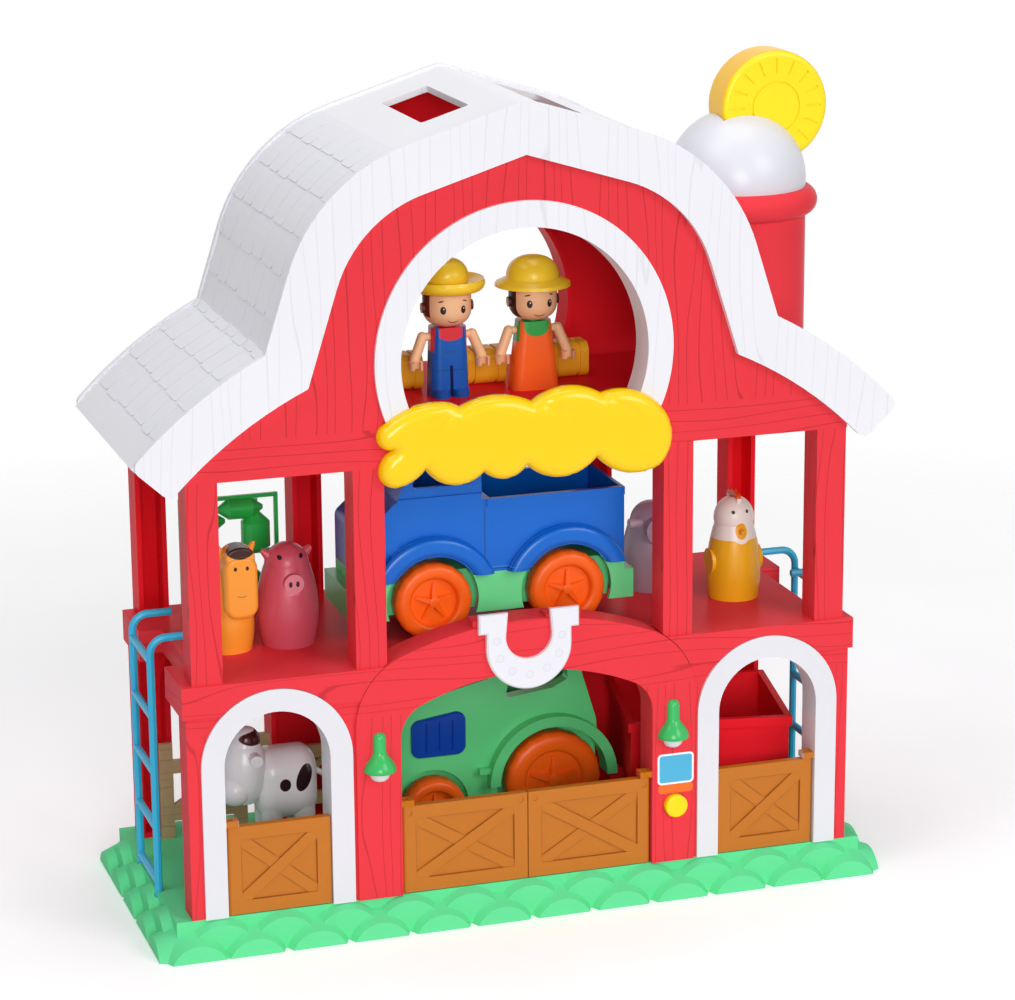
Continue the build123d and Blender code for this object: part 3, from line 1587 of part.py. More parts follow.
# Animals: egg-shaped standing figures, and a cow on four legs
def egg(x, y, base_z, foot, belly, belly_z, top):
    """Upright egg on a flat foot, revolved in the part in work."""
    rear = Plane(origin=(x, y, base_z), x_dir=(0, 1, 0), z_dir=(1, 0, 0))
    brow = (0.72 * belly, (belly_z + top) / 2 + 0.12 * top)
    with BuildSketch(rear) as half:
        with BuildLine():
            Line((0, 0), (foot, 0))
            ThreePointArc((foot, 0), (belly, belly_z), brow)
            ThreePointArc(brow, (0.42 * belly, 0.96 * top), (crown_flat, top))
            Polyline((crown_flat, top), (0, top), (0, 0))
        make_face()
    revolve(half.sketch, axis=Axis((x, y, 0), (0, 0, 1)))


horse_post_gap = 23.3
horse_x = horse_post_gap - post_outer_x
horse_face = 4
horse_y = -14
pig_spacing = 31
pig_x = horse_x + pig_spacing
pig_y = -14
chicken_post_gap = 29.8
chicken_x = post_outer_x - chicken_post_gap
chicken_y = -13
sheep_post_gap = 17.3
sheep_x = post_inner_x + sheep_post_gap
sheep_y = 16
cow_shift = 18.5
cow_x = cow_shift - side_door_x
cow_y = 3

with BuildPart() as pig:
    egg(pig_x, pig_y, deck_z, 13, 15.5, 18, 52)
    with Locations((pig_x, pig_y - 12.5, deck_z + 34)):
        Cylinder(5, 5, rotation=(90, 0, 0))
    for side in (-1, 1):
        with Locations((pig_x + side * 9.5, pig_y, deck_z + 46)):
            Cone(4, 1.2, 8, rotation=(0, side * 50, 0))
        with Locations((pig_x + side * 1.8, pig_y - 16, deck_z + 34)):
            Cylinder(0.9, 3, rotation=(90, 0, 0), mode=Mode.SUBTRACT)
save(pig.part, "pig")

horse_face_front = horse_y - 17
with BuildPart() as horse:
    egg(horse_x, horse_y, deck_z, 12, 13.5, 14, 46)
    with BuildSketch(house_plane(horse_face_front)):
        with Locations((horse_x + horse_face, deck_z + 35)):
            RectangleRounded(17, 32, 6.5)
    extrude(amount=-16)
    fillet(horse.faces().sort_by(Axis.Y)[0].edges(), 2.5)
    with BuildSketch(house_plane(horse_face_front + 1)):
        with Locations((horse_x + horse_face, deck_z + 50.5)):
            Ellipse(7.4, 5)
    extrude(amount=-12)
    fillet(horse.faces().filter_by(Axis.Y).sort_by(Axis.Y)[1].edges(), 1.2)
    for side in (-1, 1):
        with Locations((horse_x + horse_face + side * 7.5, horse_y - 4, deck_z + 51)):
            Cone(3.2, 0.8, 9, rotation=(0, side * 28, 0))
save(horse.part, "horse")

with BuildPart() as chicken:
    egg(chicken_x, chicken_y, deck_z, 13, 14, 12, 54)
    with Locations((chicken_x, chicken_y - 9.5, deck_z + 37)):
        Cone(3.2, 0.8, 7, rotation=(90, 0, 0))
    for i in range(3):
        with Locations((chicken_x, chicken_y - 4 + 4 * i, deck_z + 54 - abs(i - 1))):
            Cylinder(3.2, 2.4, rotation=(0, 90, 0))
    for side in (-1, 1):
        with Locations((chicken_x + side * 12.5, chicken_y, deck_z + 20)):
            Cylinder(6.5, 3, rotation=(0, 90, 0))
save(chicken.part, "chicken")

with BuildPart() as sheep:
    egg(sheep_x, sheep_y, deck_z, 13, 15, 18, 47)
    with Locations((sheep_x, sheep_y - 11, deck_z + 34)):
        Cylinder(7.5, 7, rotation=(90, 0, 0))
    for side in (-1, 1):
        with Locations((sheep_x + side * 11, sheep_y - 6, deck_z + 37)):
            Cylinder(2.6, 7, rotation=(0, 90, 0))
save(sheep.part, "sheep")

cow_belly_z = 40
cow_back_z = 77.5
cow_half = 14
cow_reach = 17
cow_head_x = cow_x - cow_reach
cow_leg = 5.6
cow_head_z = 51
with BuildPart() as cow:
    with BuildSketch(Plane.YZ.offset(cow_x - 13)):
        with Locations((cow_y, (cow_belly_z + cow_back_z) / 2)):
            RectangleRounded(2 * cow_half, cow_back_z - cow_belly_z, 13)
    extrude(amount=31)
    fillet(cow.faces().filter_by(Axis.X).edges(), 8)
    with BuildSketch(Plane.XY.offset(floor_z)):
        with Locations((cow_x + 2.5, cow_y)):
            with GridLocations(17, 14, 2, 2):
                Circle(cow_leg)
    extrude(amount=cow_belly_z - floor_z + 10)
    egg(cow_head_x - 2, cow_y - 4, cow_head_z, 5, 11.5, 15, 38)
    with Locations((cow_head_x - 8, cow_y - 7, cow_head_z + 8)):
        Sphere(8.3)
    with Locations((cow_head_x - 1, cow_y - 4, cow_head_z + 33)):
        Sphere(7.4)
    for side in (-1, 1):
        with Locations((cow_head_x + 1, cow_y - 4 + side * 12, cow_head_z + 26)):
            Cylinder(3.2, 7, rotation=(90, 0, 0))
    with Locations((cow_x + 20, cow_y, 62)):
        Cylinder(1.5, 10, rotation=(0, 120, 0))
save(cow.part, "cow")

# Accessories: round bales in the loft, a vegetable sprue and fence panels
bale_radius = 9
bale_length = 24
bale_y = 12
bale_places = (-42, 2, 46)

with BuildPart() as hay_bales:
    for x in bale_places:
        with BuildSketch(Plane.YZ.offset(x - bale_length / 2)):
            with Locations((bale_y, loft_z + bale_radius)):
                RectangleRounded(2 * bale_radius, 2 * bale_radius, 5)
        extrude(amount=bale_length)
        for band in (-1, 1):
            with BuildSketch(Plane.YZ.offset(x + band * bale_length / 4)):
                with Locations((bale_y, loft_z + bale_radius)):
                    RectangleRounded(3 * bale_radius, 3 * bale_radius, 5)
                    RectangleRounded(2 * bale_radius - 1.6, 2 * bale_radius - 1.6, 4.2, mode=Mode.SUBTRACT)
            extrude(amount=1.6, mode=Mode.SUBTRACT)
save(hay_bales.part, "hay_bales")

sprue_y = 47
sprue_bar = 2
sprue_post_gap = 13.8
sprue_width = 52
sprue_left = sprue_post_gap - post_outer_x
sprue_right = sprue_left + sprue_width
sprue_top = 199
pod_length = 20
pod_radius = 5.5
with BuildPart() as vegetables:
    sprue_mid = ((sprue_left + sprue_right) / 2, (deck_z + sprue_top) / 2)
    with BuildSketch(house_plane(sprue_y)):
        with Locations(sprue_mid):
            Rectangle(sprue_right - sprue_left, sprue_top - deck_z)
            Rectangle(
                sprue_right - sprue_left - 2 * sprue_bar,
                sprue_top - deck_z - 2 * sprue_bar,
                mode=Mode.SUBTRACT,
            )
            Rectangle(sprue_right - sprue_left, sprue_bar)
        with Locations((sprue_left + 12, sprue_mid[1]), (sprue_left + 38, sprue_mid[1])):
            Rectangle(sprue_bar, sprue_top - deck_z)
    extrude(amount=-sprue_bar)
    for x, z, turn in ((32, 192, 90), (12, 186, 90), (12, 152, 0)):
        with Locations((sprue_left + x, sprue_y + sprue_bar / 2, z)):
            with Locations(Rotation(0, turn, 0)):
                Cylinder(pod_radius, pod_length - 8)
                with Locations((0, 0, pod_length / 2 - 4)):
                    Cone(pod_radius, 1.2, 6, align=(Align.CENTER, Align.CENTER, Align.MIN))
                with Locations((0, 0, 4 - pod_length / 2)):
                    Cone(1.2, pod_radius, 6, align=(Align.CENTER, Align.CENTER, Align.MAX))
    with Locations((sprue_left + 40, sprue_y + sprue_bar / 2, 178)):
        Cylinder(7.5, 13)
        with Locations((0, 0, 6.5)):
            Cone(7.5, 2.5, 5, align=(Align.CENTER, Align.CENTER, Align.MIN))
            Cylinder(1.5, 12, align=(Align.CENTER, Align.CENTER, Align.MIN))
    with Locations((sprue_left + 36, sprue_y + sprue_bar / 2, 152)):
        Sphere(8)
        Cylinder(1.5, 24)
save(vegetables.part, "vegetables")

fence_height = 52
fence_length = 46
fence_thickness = 3
fence_rail = 7
fence_y = 45
fence_inset = 33
fence_pitch = 52
with BuildPart() as fence_panels:
    for x in (fence_inset - wall_half_width, fence_inset + fence_pitch - wall_half_width):
        with BuildSketch(house_plane(fence_y)):
            with Locations((x, floor_z + fence_height / 2)):
                with GridLocations(fence_length - fence_rail, 1, 2, 1):
                    Rectangle(fence_rail, fence_height)
                with GridLocations(1, fence_height / 2, 1, 2):
                    Rectangle(fence_length, fence_rail)
                Rectangle(fence_length - fence_rail, fence_rail / 2, rotation=32)
        extrude(amount=-fence_thickness)
save(fence_panels.part, "fence_panels")
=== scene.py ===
# %% [markdown]
# # Toy farm playset
# This notebook dresses the jointed CAD model of a toy farm: a red barn with a white
# roof on a green base, with gates, a silo, vehicles, farmers and animals. The CAD
# pieces stay where they are. Each step gives them a finish, or adds a piece whose
# form is finer than the CAD model's.

import math
import random

import bmesh
import bpy
from mathutils import Matrix, Vector
from mathutils.bvhtree import BVHTree
from mathutils.geometry import delaunay_2d_cdt


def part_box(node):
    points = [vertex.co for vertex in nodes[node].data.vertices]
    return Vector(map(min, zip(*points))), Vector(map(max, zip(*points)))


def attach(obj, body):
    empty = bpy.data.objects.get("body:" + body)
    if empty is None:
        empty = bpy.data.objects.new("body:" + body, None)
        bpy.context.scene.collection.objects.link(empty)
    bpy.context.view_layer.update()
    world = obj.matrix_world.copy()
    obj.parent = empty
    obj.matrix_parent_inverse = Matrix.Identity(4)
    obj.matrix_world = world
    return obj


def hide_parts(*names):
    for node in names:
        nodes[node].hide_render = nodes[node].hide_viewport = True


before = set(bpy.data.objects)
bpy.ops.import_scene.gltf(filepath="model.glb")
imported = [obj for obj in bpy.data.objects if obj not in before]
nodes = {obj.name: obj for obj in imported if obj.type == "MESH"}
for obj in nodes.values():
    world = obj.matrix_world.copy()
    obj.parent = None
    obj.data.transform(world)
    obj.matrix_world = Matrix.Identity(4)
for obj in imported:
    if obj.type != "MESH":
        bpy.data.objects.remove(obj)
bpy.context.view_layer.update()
MM = 0.001
random.seed(7)
print(len(nodes), "CAD nodes")

# %% [markdown]
# ## Colours and shader nodes
# Colours are easiest to note as the sRGB hex codes of a screen, but Cycles reckons in
# linear light, so one function turns one into the other. Materials could be put
# together by hand in the shader editor. Here one small function adds a node with its
# settings and links, so that a material reads from top to bottom.


# %% Colours
def linear(hex_code):
    """sRGB hex code to linear RGBA."""
    out = []
    for i in (0, 2, 4):
        c = int(hex_code[i : i + 2], 16) / 255
        out.append(c / 12.92 if c <= 0.04045 else ((c + 0.055) / 1.055) ** 2.4)
    return (*out, 1.0)


def darker(hex_code, share):
    """The same colour with less light in it."""
    return "".join(f"{int(int(hex_code[i : i + 2], 16) * share):02X}" for i in (0, 2, 4))


print("mid grey is", round(linear("808080")[0], 3), "in linear light")


# %% Nodes
def node(tree, kind, inputs=(), **settings):
    """Adds a shader node. Its inputs take a socket to link or a value to hold."""
    made = tree.nodes.new(kind)
    for key, value in settings.items():
        setattr(made, key, value)
    for key, value in dict(inputs).items():
        if isinstance(value, bpy.types.NodeSocket):
            tree.links.new(value, made.inputs[key])
        else:
            made.inputs[key].default_value = value
    return made


# %% [markdown]
# ## Wood grain in the moulds
# The barn's boards carry the wavy lines of wood grain, cut into the mould. They stand
# upright on walls and posts and lie level on beams. A bump image could show them, but
# lines drawn by nodes need no picture and keep their real spacing in millimetres. The
# place across the boards, pushed about by slow noise, is folded into a zigzag, and
# its tips are the lines. A pixel of the render is 0.5 mm, and a finer line would not
# show, so they are drawn about that wide.
# The lines are also drawn a little darker in colour, as painted shade in their grooves.

# %% Grain lines
GRAIN_STRETCH = 8  # a wave is this much longer along a board than across it
GRAIN_DRIFT = 3.4  # how far the noise pushes a line, in line spacings
LINE_CORE, LINE_EDGE = 0.012, 0.045  # half widths of a line, in line spacings
FLANK = 0.6  # up to this share of Y in its normal, a face looks to the side
STEEP = 0.5  # up to this share of Z, a face stands upright; flatter ones have no grain


def engraved(tree, level_from, level_to, spacing):
    """Mask of grain lines, level between two heights in mm and upright elsewhere."""
    coords = node(tree, "ShaderNodeTexCoord").outputs
    x, y, z = node(tree, "ShaderNodeSeparateXYZ", {0: coords["Object"]}).outputs
    _, to_front, to_top = node(tree, "ShaderNodeSeparateXYZ", {0: coords["Normal"]}).outputs
    flank = node(tree, "ShaderNodeMath", {0: to_front, 1: 0, 2: FLANK}, operation="COMPARE")
    side = node(tree, "ShaderNodeMath", {0: to_top, 1: 0, 2: STEEP}, operation="COMPARE")
    across = node(tree, "ShaderNodeMix", {"Factor": flank.outputs[0], "A": x, "B": y})
    across = across.outputs["Result"]
    middle, reach = (level_from + level_to) / 2 * MM, (level_to - level_from) / 2 * MM
    level = node(tree, "ShaderNodeMath", {0: z, 1: middle, 2: reach}, operation="COMPARE")
    level = level.outputs[0]
    u = node(tree, "ShaderNodeMix", {"Factor": level, "A": across, "B": z}).outputs["Result"]
    v = node(tree, "ShaderNodeMix", {"Factor": level, "A": z, "B": across}).outputs["Result"]
    flat = node(tree, "ShaderNodeCombineXYZ", {"X": u, "Y": v}).outputs["Vector"]
    scale = (1 / (spacing * MM), 1 / (GRAIN_STRETCH * spacing * MM), 0)
    place = node(tree, "ShaderNodeVectorMath", {0: flat, 1: scale}, operation="MULTIPLY")
    place = place.outputs["Vector"]
    u = node(tree, "ShaderNodeSeparateXYZ", {0: place}).outputs["X"]
    drift = node(tree, "ShaderNodeTexNoise", {"Vector": place, "Scale": 0.42, "Detail": 0.6})
    field = node(
        tree,
        "ShaderNodeMath",
        {0: drift.outputs["Fac"], 1: GRAIN_DRIFT, 2: u},
        operation="MULTIPLY_ADD",
    )
    wave = node(tree, "ShaderNodeMath", {0: field.outputs[0], 1: 0.5}, operation="PINGPONG")
    line = node(
        tree,
        "ShaderNodeMapRange",
        {"Value": wave.outputs[0], "From Min": LINE_CORE, "From Max": LINE_EDGE, "To Min": 1,
         "To Max": 0},
    ).outputs["Result"]
    mask = node(tree, "ShaderNodeMath", {0: line, 1: side.outputs[0]}, operation="MULTIPLY")
    return mask.outputs[0]


# %% [markdown]
# ## Moulded plastic
# Nearly everything is injection-moulded plastic, coloured through. Its IOR is 1.5, and
# how it shines comes from the mould's face: polished steel leaves a gloss, etched
# steel a satin. A flat colour would look like paint, so the finish has a texture a few
# hundredths of a millimetre deep and a slow drift in tone of 3 per cent. A mould's own
# texture is finer than a pixel, so it is drawn about 1 mm coarse to show.


# %% Moulded finish
def moulded(
    name, hex_code, roughness=0.3, texture_mm=1.2, depth_mm=0.02, grain=None, shine=0.35
):
    """Moulded plastic. grain is (heights between which it lies level, line spacing,
    depth, share of light left in its lines as painted groove shade), in mm. shine
    scales its mirror reflection."""
    material = bpy.data.materials.new(name)
    material.use_nodes = True
    tree = material.node_tree
    place = node(tree, "ShaderNodeTexCoord").outputs["Object"]
    fine = node(
        tree, "ShaderNodeTexNoise", {"Vector": place, "Scale": 1000 / texture_mm, "Detail": 2}
    )
    normal = node(
        tree,
        "ShaderNodeBump",
        {"Height": fine.outputs["Fac"], "Strength": 1, "Distance": depth_mm * MM},
    ).outputs["Normal"]
    tone = node(tree, "ShaderNodeTexNoise", {"Vector": place, "Scale": 14, "Detail": 1})
    drift = node(
        tree,
        "ShaderNodeMapRange",
        {"Value": tone.outputs["Fac"], "To Min": 0.97, "To Max": 1.03},
    )
    colour = node(
        tree,
        "ShaderNodeHueSaturation",
        {"Color": linear(hex_code), "Value": drift.outputs["Result"]},
    ).outputs["Color"]
    if grain:
        level, spacing, depth, share = grain
        grooves_and_shade = engraved(tree, *level, spacing)
        # Darkens the grain lines: painted shade in the grooves, besides their real bump.
        colour = node(
            tree,
            "ShaderNodeMix",
            {"Factor": grooves_and_shade, "A": colour, "B": linear(darker(hex_code, share))},
            data_type="RGBA",
        ).outputs["Result"]
        normal = node(
            tree,
            "ShaderNodeBump",
            {"Height": grooves_and_shade, "Normal": normal, "Strength": 1, "Distance": -depth * MM},
        ).outputs["Normal"]
    shader = tree.nodes["Principled BSDF"]
    shader.inputs["Base Color"].default_value = linear(hex_code)
    shader.inputs["Roughness"].default_value = roughness
    shader.inputs["IOR"].default_value = 1.5
    shader.inputs["Specular IOR Level"].default_value = shine
    tree.links.new(colour, shader.inputs["Base Color"])
    tree.links.new(normal, shader.inputs["Normal"])
    return material


# %% [markdown]
# ## House plastics
# Walls, deck and silo are red ABS, and roof, trims, horseshoe and dome white ABS. The
# base is polypropylene, a softer and waxier plastic with a satin face. The awning, the
# lamps and the button come from polished moulds and are the glossiest. Plastic mirrors
# about 4 per cent of what is round it. In this all-white room that would wash out the
# deep red of the walls and the green of the base, so DULL takes nearly all of it away.
# In its place the red of walls, deck and silo is paled by a painted sheen. The rear
# panels, loft floor and trailer box take a brighter, deeper red as painted light in the
# shaded rooms, and the dome a greyer white as painted shade.

# %% House
# This red is paled by a painted sheen, in place of the reflection that DULL takes away.
RED_WITH_PAINTED_SHEEN = "E83F48"
WHITE = "E7E7EE"
TAN = "C07018"
DULL = 0.015
UPRIGHT = (0, 0)  # heights between which grain lies level: nowhere,
BEAM = (238, 257.3)  # on the beam over the posts,
ARCH = (113, 200)  # on the band over the doorways,
ALL_LEVEL = (-1, 999)  # everywhere
red_wood = moulded(
    "red ABS, wood-grain mould", RED_WITH_PAINTED_SHEEN, 0.32, grain=(BEAM, 6.5, 0.1, 0.85), shine=DULL
)
red_arch = moulded(
    "red ABS, arched grain mould", RED_WITH_PAINTED_SHEEN, 0.32, grain=(ARCH, 6, 0.1, 0.88), shine=DULL
)
red_level = moulded(
    "red ABS, level grain mould", RED_WITH_PAINTED_SHEEN, 0.32, grain=(ALL_LEVEL, 6, 0.1, 0.87), shine=DULL
)
# A brighter, deeper red: painted light on the rear panels, loft floor and trailer box, which lie
# in shade.
red_rear_painted_light = moulded("red ABS, smooth rear panels, painted light", "F2222E", 0.32, shine=DULL)
red_plain = moulded("red ABS, polished mould", RED_WITH_PAINTED_SHEEN, shine=DULL)
white_wood = moulded(
    "white ABS, wood-grain mould", "EBEBF1", 0.32, grain=(UPRIGHT, 7, 0.05, 0.955)
)
white_plain = moulded("white ABS, polished mould", WHITE, 0.28)
trim_white = moulded("white ABS, moulded trims", "E0E0E6")
# Greyer than the other whites: painted shade on the dome.
dome_white_painted_shade = moulded("white ABS, polished dome, painted shade", "DADAE2")
base_green = moulded(
    "mint green polypropylene, satin mould", "68DE9A", 0.38, 2, 0.04, shine=DULL
)
hay_yellow = moulded("yellow ABS, polished mould", "FFD208", 0.16)
sun_yellow = moulded("lemon yellow ABS, polished mould", "FFE205")
button_yellow = moulded("yellow ABS, glossy button", "FFDC04", 0.25)
lamp_green = moulded("leaf green ABS, polished mould", "38B860", 0.22)
ladder_blue = moulded("sky blue polypropylene", "30B2DC", 0.34)
print(len(bpy.data.materials), "materials for the house")

# %% [markdown]
# ## Plastics of vehicles, figures and small parts
# The vehicles are ABS from polished moulds, with a sharp gloss, on orange polypropylene
# wheels that look waxier. Heads and arms are vinyl with a satin face, soft to the eye
# like skin. The animals are vinyl from smoother moulds and shine more. The axles and
# cells are drawn or pressed steel: all they show is tinted reflection, as metals do.


# %% Vehicles
def brushed_metal(name, hex_code, roughness=0.35):
    """Bright metal with a trace of its drawing or pressing."""
    material = moulded(name, hex_code, roughness, 0.4, 0.01)
    material.node_tree.nodes["Principled BSDF"].inputs["Metallic"].default_value = 1.0
    return material


chassis_green = moulded("light green ABS, polished mould", "72EA9A")
tractor_green = moulded("grass green ABS, polished mould", "66DC8C", 0.26)
truck_blue = moulded("blue ABS, polished mould", "046CD6", 0.24)
vent_blue = moulded("deep blue ABS, polished mould", "0A44AC")
wheel_orange = moulded("orange polypropylene, satin mould", "FF6812", 0.36)
steel = brushed_metal("drawn steel", "B9BCC2")
print(len(bpy.data.materials), "materials with those of the vehicles")

# %% Figures, animals and small parts
SKIN = "F8C698"
hat_yellow = moulded("straw yellow ABS, polished mould", "FFD634", 0.26)
skin = moulded("skin-tone vinyl, satin mould", SKIN, 0.42)
farmer_skin = moulded("skin-tone vinyl, printed boy face", SKIN, 0.42)
girl_skin = moulded("skin-tone vinyl, printed girl face", SKIN, 0.42)
overalls_blue = moulded("blue painted ABS, satin", "0F5CB8")
dress_orange = moulded("orange painted ABS, satin", "FF6A24")
horse_orange = moulded("amber vinyl, polished mould", "FBA436", 0.26)
pig_pink = moulded("pink vinyl, polished mould", "D25A6C")
chicken_white = moulded("warm white vinyl, polished mould", "F2EDE4")
cow_white = moulded("white vinyl, polished mould", "ECEAEE", 0.22)
sheep_lilac = moulded("lilac vinyl, polished mould", "B79FB2", 0.34)
bale_yellow = moulded("straw yellow ABS, satin mould", "F2B020", 0.42)
sprue_green = moulded("green polypropylene sprue", "2CC454")
fence_beige = moulded(
    "beige ABS, wood-grain mould", "C9A57E", 0.42, grain=(ALL_LEVEL, 6, 0.1, 0.86)
)
black_plastic = moulded("black ABS, matt mould", "1D1D20", 0.45)
board_green = moulded("green solder mask", "1F6B3A", 0.4)
print(len(bpy.data.materials), "materials with those of the small pieces")


# %% Which piece has which plastic
def dress(name, material):
    """Gives a CAD node its one material."""
    nodes[name].data.materials.clear()
    nodes[name].data.materials.append(material)


NODE_MATERIALS = {
    base_green: ["base_plate"],
    red_arch: ["lower_front_wall"],
    red_wood: ["upper_front_wall"],
    red_rear_painted_light: ["lower_rear_wall", "upper_rear_wall", "loft_floor", "trailer_box"],
    red_level: ["middle_deck"],
    red_plain: ["sound_box", "battery_door", "silo_tower"],
    white_wood: ["roof", "window_ring"],
    trim_white: ["arch_trims"],
    dome_white_painted_shade: ["silo_dome"],
    hay_yellow: ["hay_awning"],
    lamp_green: ["lamps"],
    button_yellow: ["sound_button"],
    board_green: ["circuit_board"],
    black_plastic: ["speaker"],
    sun_yellow: ["sun"],
    ladder_blue: ["ladders"],
    truck_blue: ["truck_body"],
    chassis_green: ["truck_chassis"],
    tractor_green: ["tractor_body"],
    vent_blue: ["tractor_vents"],
    overalls_blue: ["farmer_body"],
    dress_orange: ["girl_body"],
    farmer_skin: ["farmer_head"],
    girl_skin: ["girl_head"],
    skin: ["farmer_left_arm", "farmer_right_arm", "girl_left_arm", "girl_right_arm"],
    hat_yellow: ["farmer_hat", "girl_hat"],
    horse_orange: ["horse"],
    pig_pink: ["pig"],
    chicken_white: ["chicken"],
    cow_white: ["cow"],
    sheep_lilac: ["sheep"],
    bale_yellow: ["hay_bales"],
    sprue_green: ["vegetables"],
    fence_beige: ["fence_panels"],
}
AXLED = ("truck_front", "truck_rear", "tractor_front", "tractor_rear", "trailer")
NODE_MATERIALS[wheel_orange] = [name + "_wheels" for name in AXLED]
NODE_MATERIALS[steel] = ["button_cells"] + [name + "_axle" for name in AXLED]
for material, names in NODE_MATERIALS.items():
    for name in names:
        dress(name, material)
print(sum(len(names) for names in NODE_MATERIALS.values()), "nodes have a plastic")

# %% [markdown]
# ## Prints
# Eyes, hair, clothes and patches are printed on the plain mouldings by a soft pad. A
# decal image would need a picture file. Instead each print is the place where a simple
# solid, an ellipsoid or a box, meets the piece: it is given by its centre, half sizes
# and tilt in millimetres, and takes another colour inside.

# %% Print helper
PRINT_EDGE = 0.15  # how softly a print ends, in mm


def printed(material, prints):
    """Adds prints to a moulded material, later ones over earlier ones."""
    tree = material.node_tree
    shader = tree.nodes["Principled BSDF"]
    colour = shader.inputs["Base Color"].links[0].from_socket
    place = node(tree, "ShaderNodeTexCoord").outputs["Object"]
    for shape, centre, half, tilt, hex_code in prints:
        local = node(
            tree,
            "ShaderNodeMapping",
            {
                "Vector": place,
                "Location": Vector(centre) * MM,
                "Rotation": (0, math.radians(tilt), 0),
                "Scale": Vector(half) * MM,
            },
            vector_type="TEXTURE",
        ).outputs["Vector"]
        if shape == "round":
            size = node(tree, "ShaderNodeVectorMath", {0: local}, operation="LENGTH")
            reach = size.outputs["Value"]
        else:
            size = node(tree, "ShaderNodeVectorMath", {0: local}, operation="ABSOLUTE")
            x, y, z = node(tree, "ShaderNodeSeparateXYZ", {0: size.outputs["Vector"]}).outputs
            wide = node(tree, "ShaderNodeMath", {0: x, 1: y}, operation="MAXIMUM").outputs[0]
            reach = node(tree, "ShaderNodeMath", {0: wide, 1: z}, operation="MAXIMUM")
            reach = reach.outputs[0]
        inside = node(
            tree,
            "ShaderNodeMapRange",
            {"Value": reach, "From Min": 1 - PRINT_EDGE / min(half), "From Max": 1,
             "To Min": 1, "To Max": 0},
        ).outputs["Result"]
        colour = node(
            tree,
            "ShaderNodeMix",
            {"Factor": inside, "A": colour, "B": linear(hex_code)},
            data_type="RGBA",
        ).outputs["Result"]
    tree.links.new(colour, shader.inputs["Base Color"])


# %% [markdown]
# ### Figures
# Both figures have the same mould for the head, so one function prints their faces:
# hair at the back and the temples, the ears left free, eyes with a glint, brows and a
# smile, which is a dark ellipse with a skin-coloured one over its upper half.

# %% Faces
INK = "2A1A16"
GLINT = "FFFFFF"
FIGURE_Y = -9
HEAD_FRONT = FIGURE_Y - 12.2
EYE_Y = HEAD_FRONT + 1


def pair(shape, x, off, y, z, half, tilt, hex_code):
    """The same print left and right of x. A tilt above 0 leans both to the middle."""
    return [(shape, (x + side * off, y, z), half, -side * tilt, hex_code) for side in (-1, 1)]


def face(x, hair, hair_low):
    """Hair, two eyes with a glint, brows and a smile on a head at x."""
    return [
        ("box", (x, 5, 310), (14, 12, 20), 0, hair),
        *pair("box", x, 11, FIGURE_Y, 305 + hair_low, (4.2, 6, 7), 6, hair),
        ("box", (x, FIGURE_Y, 316), (20, 20, 6.6), 0, hair),
        ("round", (x, -8, 301), (20, 3, 3.8), 0, SKIN),
        *pair("round", x, 5.2, EYE_Y, 302.2, (1.45, 4, 2.1), 0, INK),
        *pair("round", x + 0.3, 5.2, EYE_Y, 302.9, (0.4, 4, 0.4), 0, GLINT),
        *pair("round", x, 6.2, EYE_Y, 306.6, (1.7, 4, 0.45), -15, hair),
        ("round", (x, HEAD_FRONT, 297.3), (3.2, 5, 1.9), 0, INK),
        ("round", (x, HEAD_FRONT, 298), (3.5, 5, 2.1), 0, SKIN),
    ]


FARMER_X, GIRL_X = -21, 24
printed(farmer_skin, face(FARMER_X, "6B2E1E", 0))
printed(girl_skin, face(GIRL_X, "3C2018", -3))
print("faces at x", FARMER_X, "and", GIRL_X, "mm")

# %% Clothes
SHIRT_RED = "D9303C"
SEAM_BLUE = "174C8C"
BLOUSE_GREEN = "35A84C"
printed(
    overalls_blue,
    [
        ("box", (FARMER_X, FIGURE_Y, 293), (6.2, 20, 5.5), 0, SHIRT_RED),
        ("round", (FARMER_X, FIGURE_Y, 288.2), (6.2, 20, 2.6), 0, SHIRT_RED),
        *pair("box", FARMER_X, 10.2, FIGURE_Y, 288, (2.4, 20, 8), 4, SHIRT_RED),
        ("box", (FARMER_X, -17, 280.2), (4.2, 3, 0.3), 0, SEAM_BLUE),
        ("box", (FARMER_X, -17, 271), (20, 3, 0.3), 0, SEAM_BLUE),
    ],
)
printed(
    dress_orange,
    [
        ("box", (GIRL_X, FIGURE_Y, 293), (6.6, 20, 5), 0, BLOUSE_GREEN),
        ("round", (GIRL_X, FIGURE_Y, 288.4), (6.6, 20, 4), 0, BLOUSE_GREEN),
        *pair("box", GIRL_X, 11.1, FIGURE_Y, 289, (3, 20, 7), 4, BLOUSE_GREEN),
    ],
)
print("printed the", overalls_blue.name, "and the", dress_orange.name)

# %% [markdown]
# ### Animals
# Each animal is one moulding. All but the sheep carry a few prints: eyes, a lighter snout
# for the pig, a dark forelock for the horse, a yellow body and an orange beak and comb for
# the chicken, and patches, a crest and a pink muzzle for the cow.

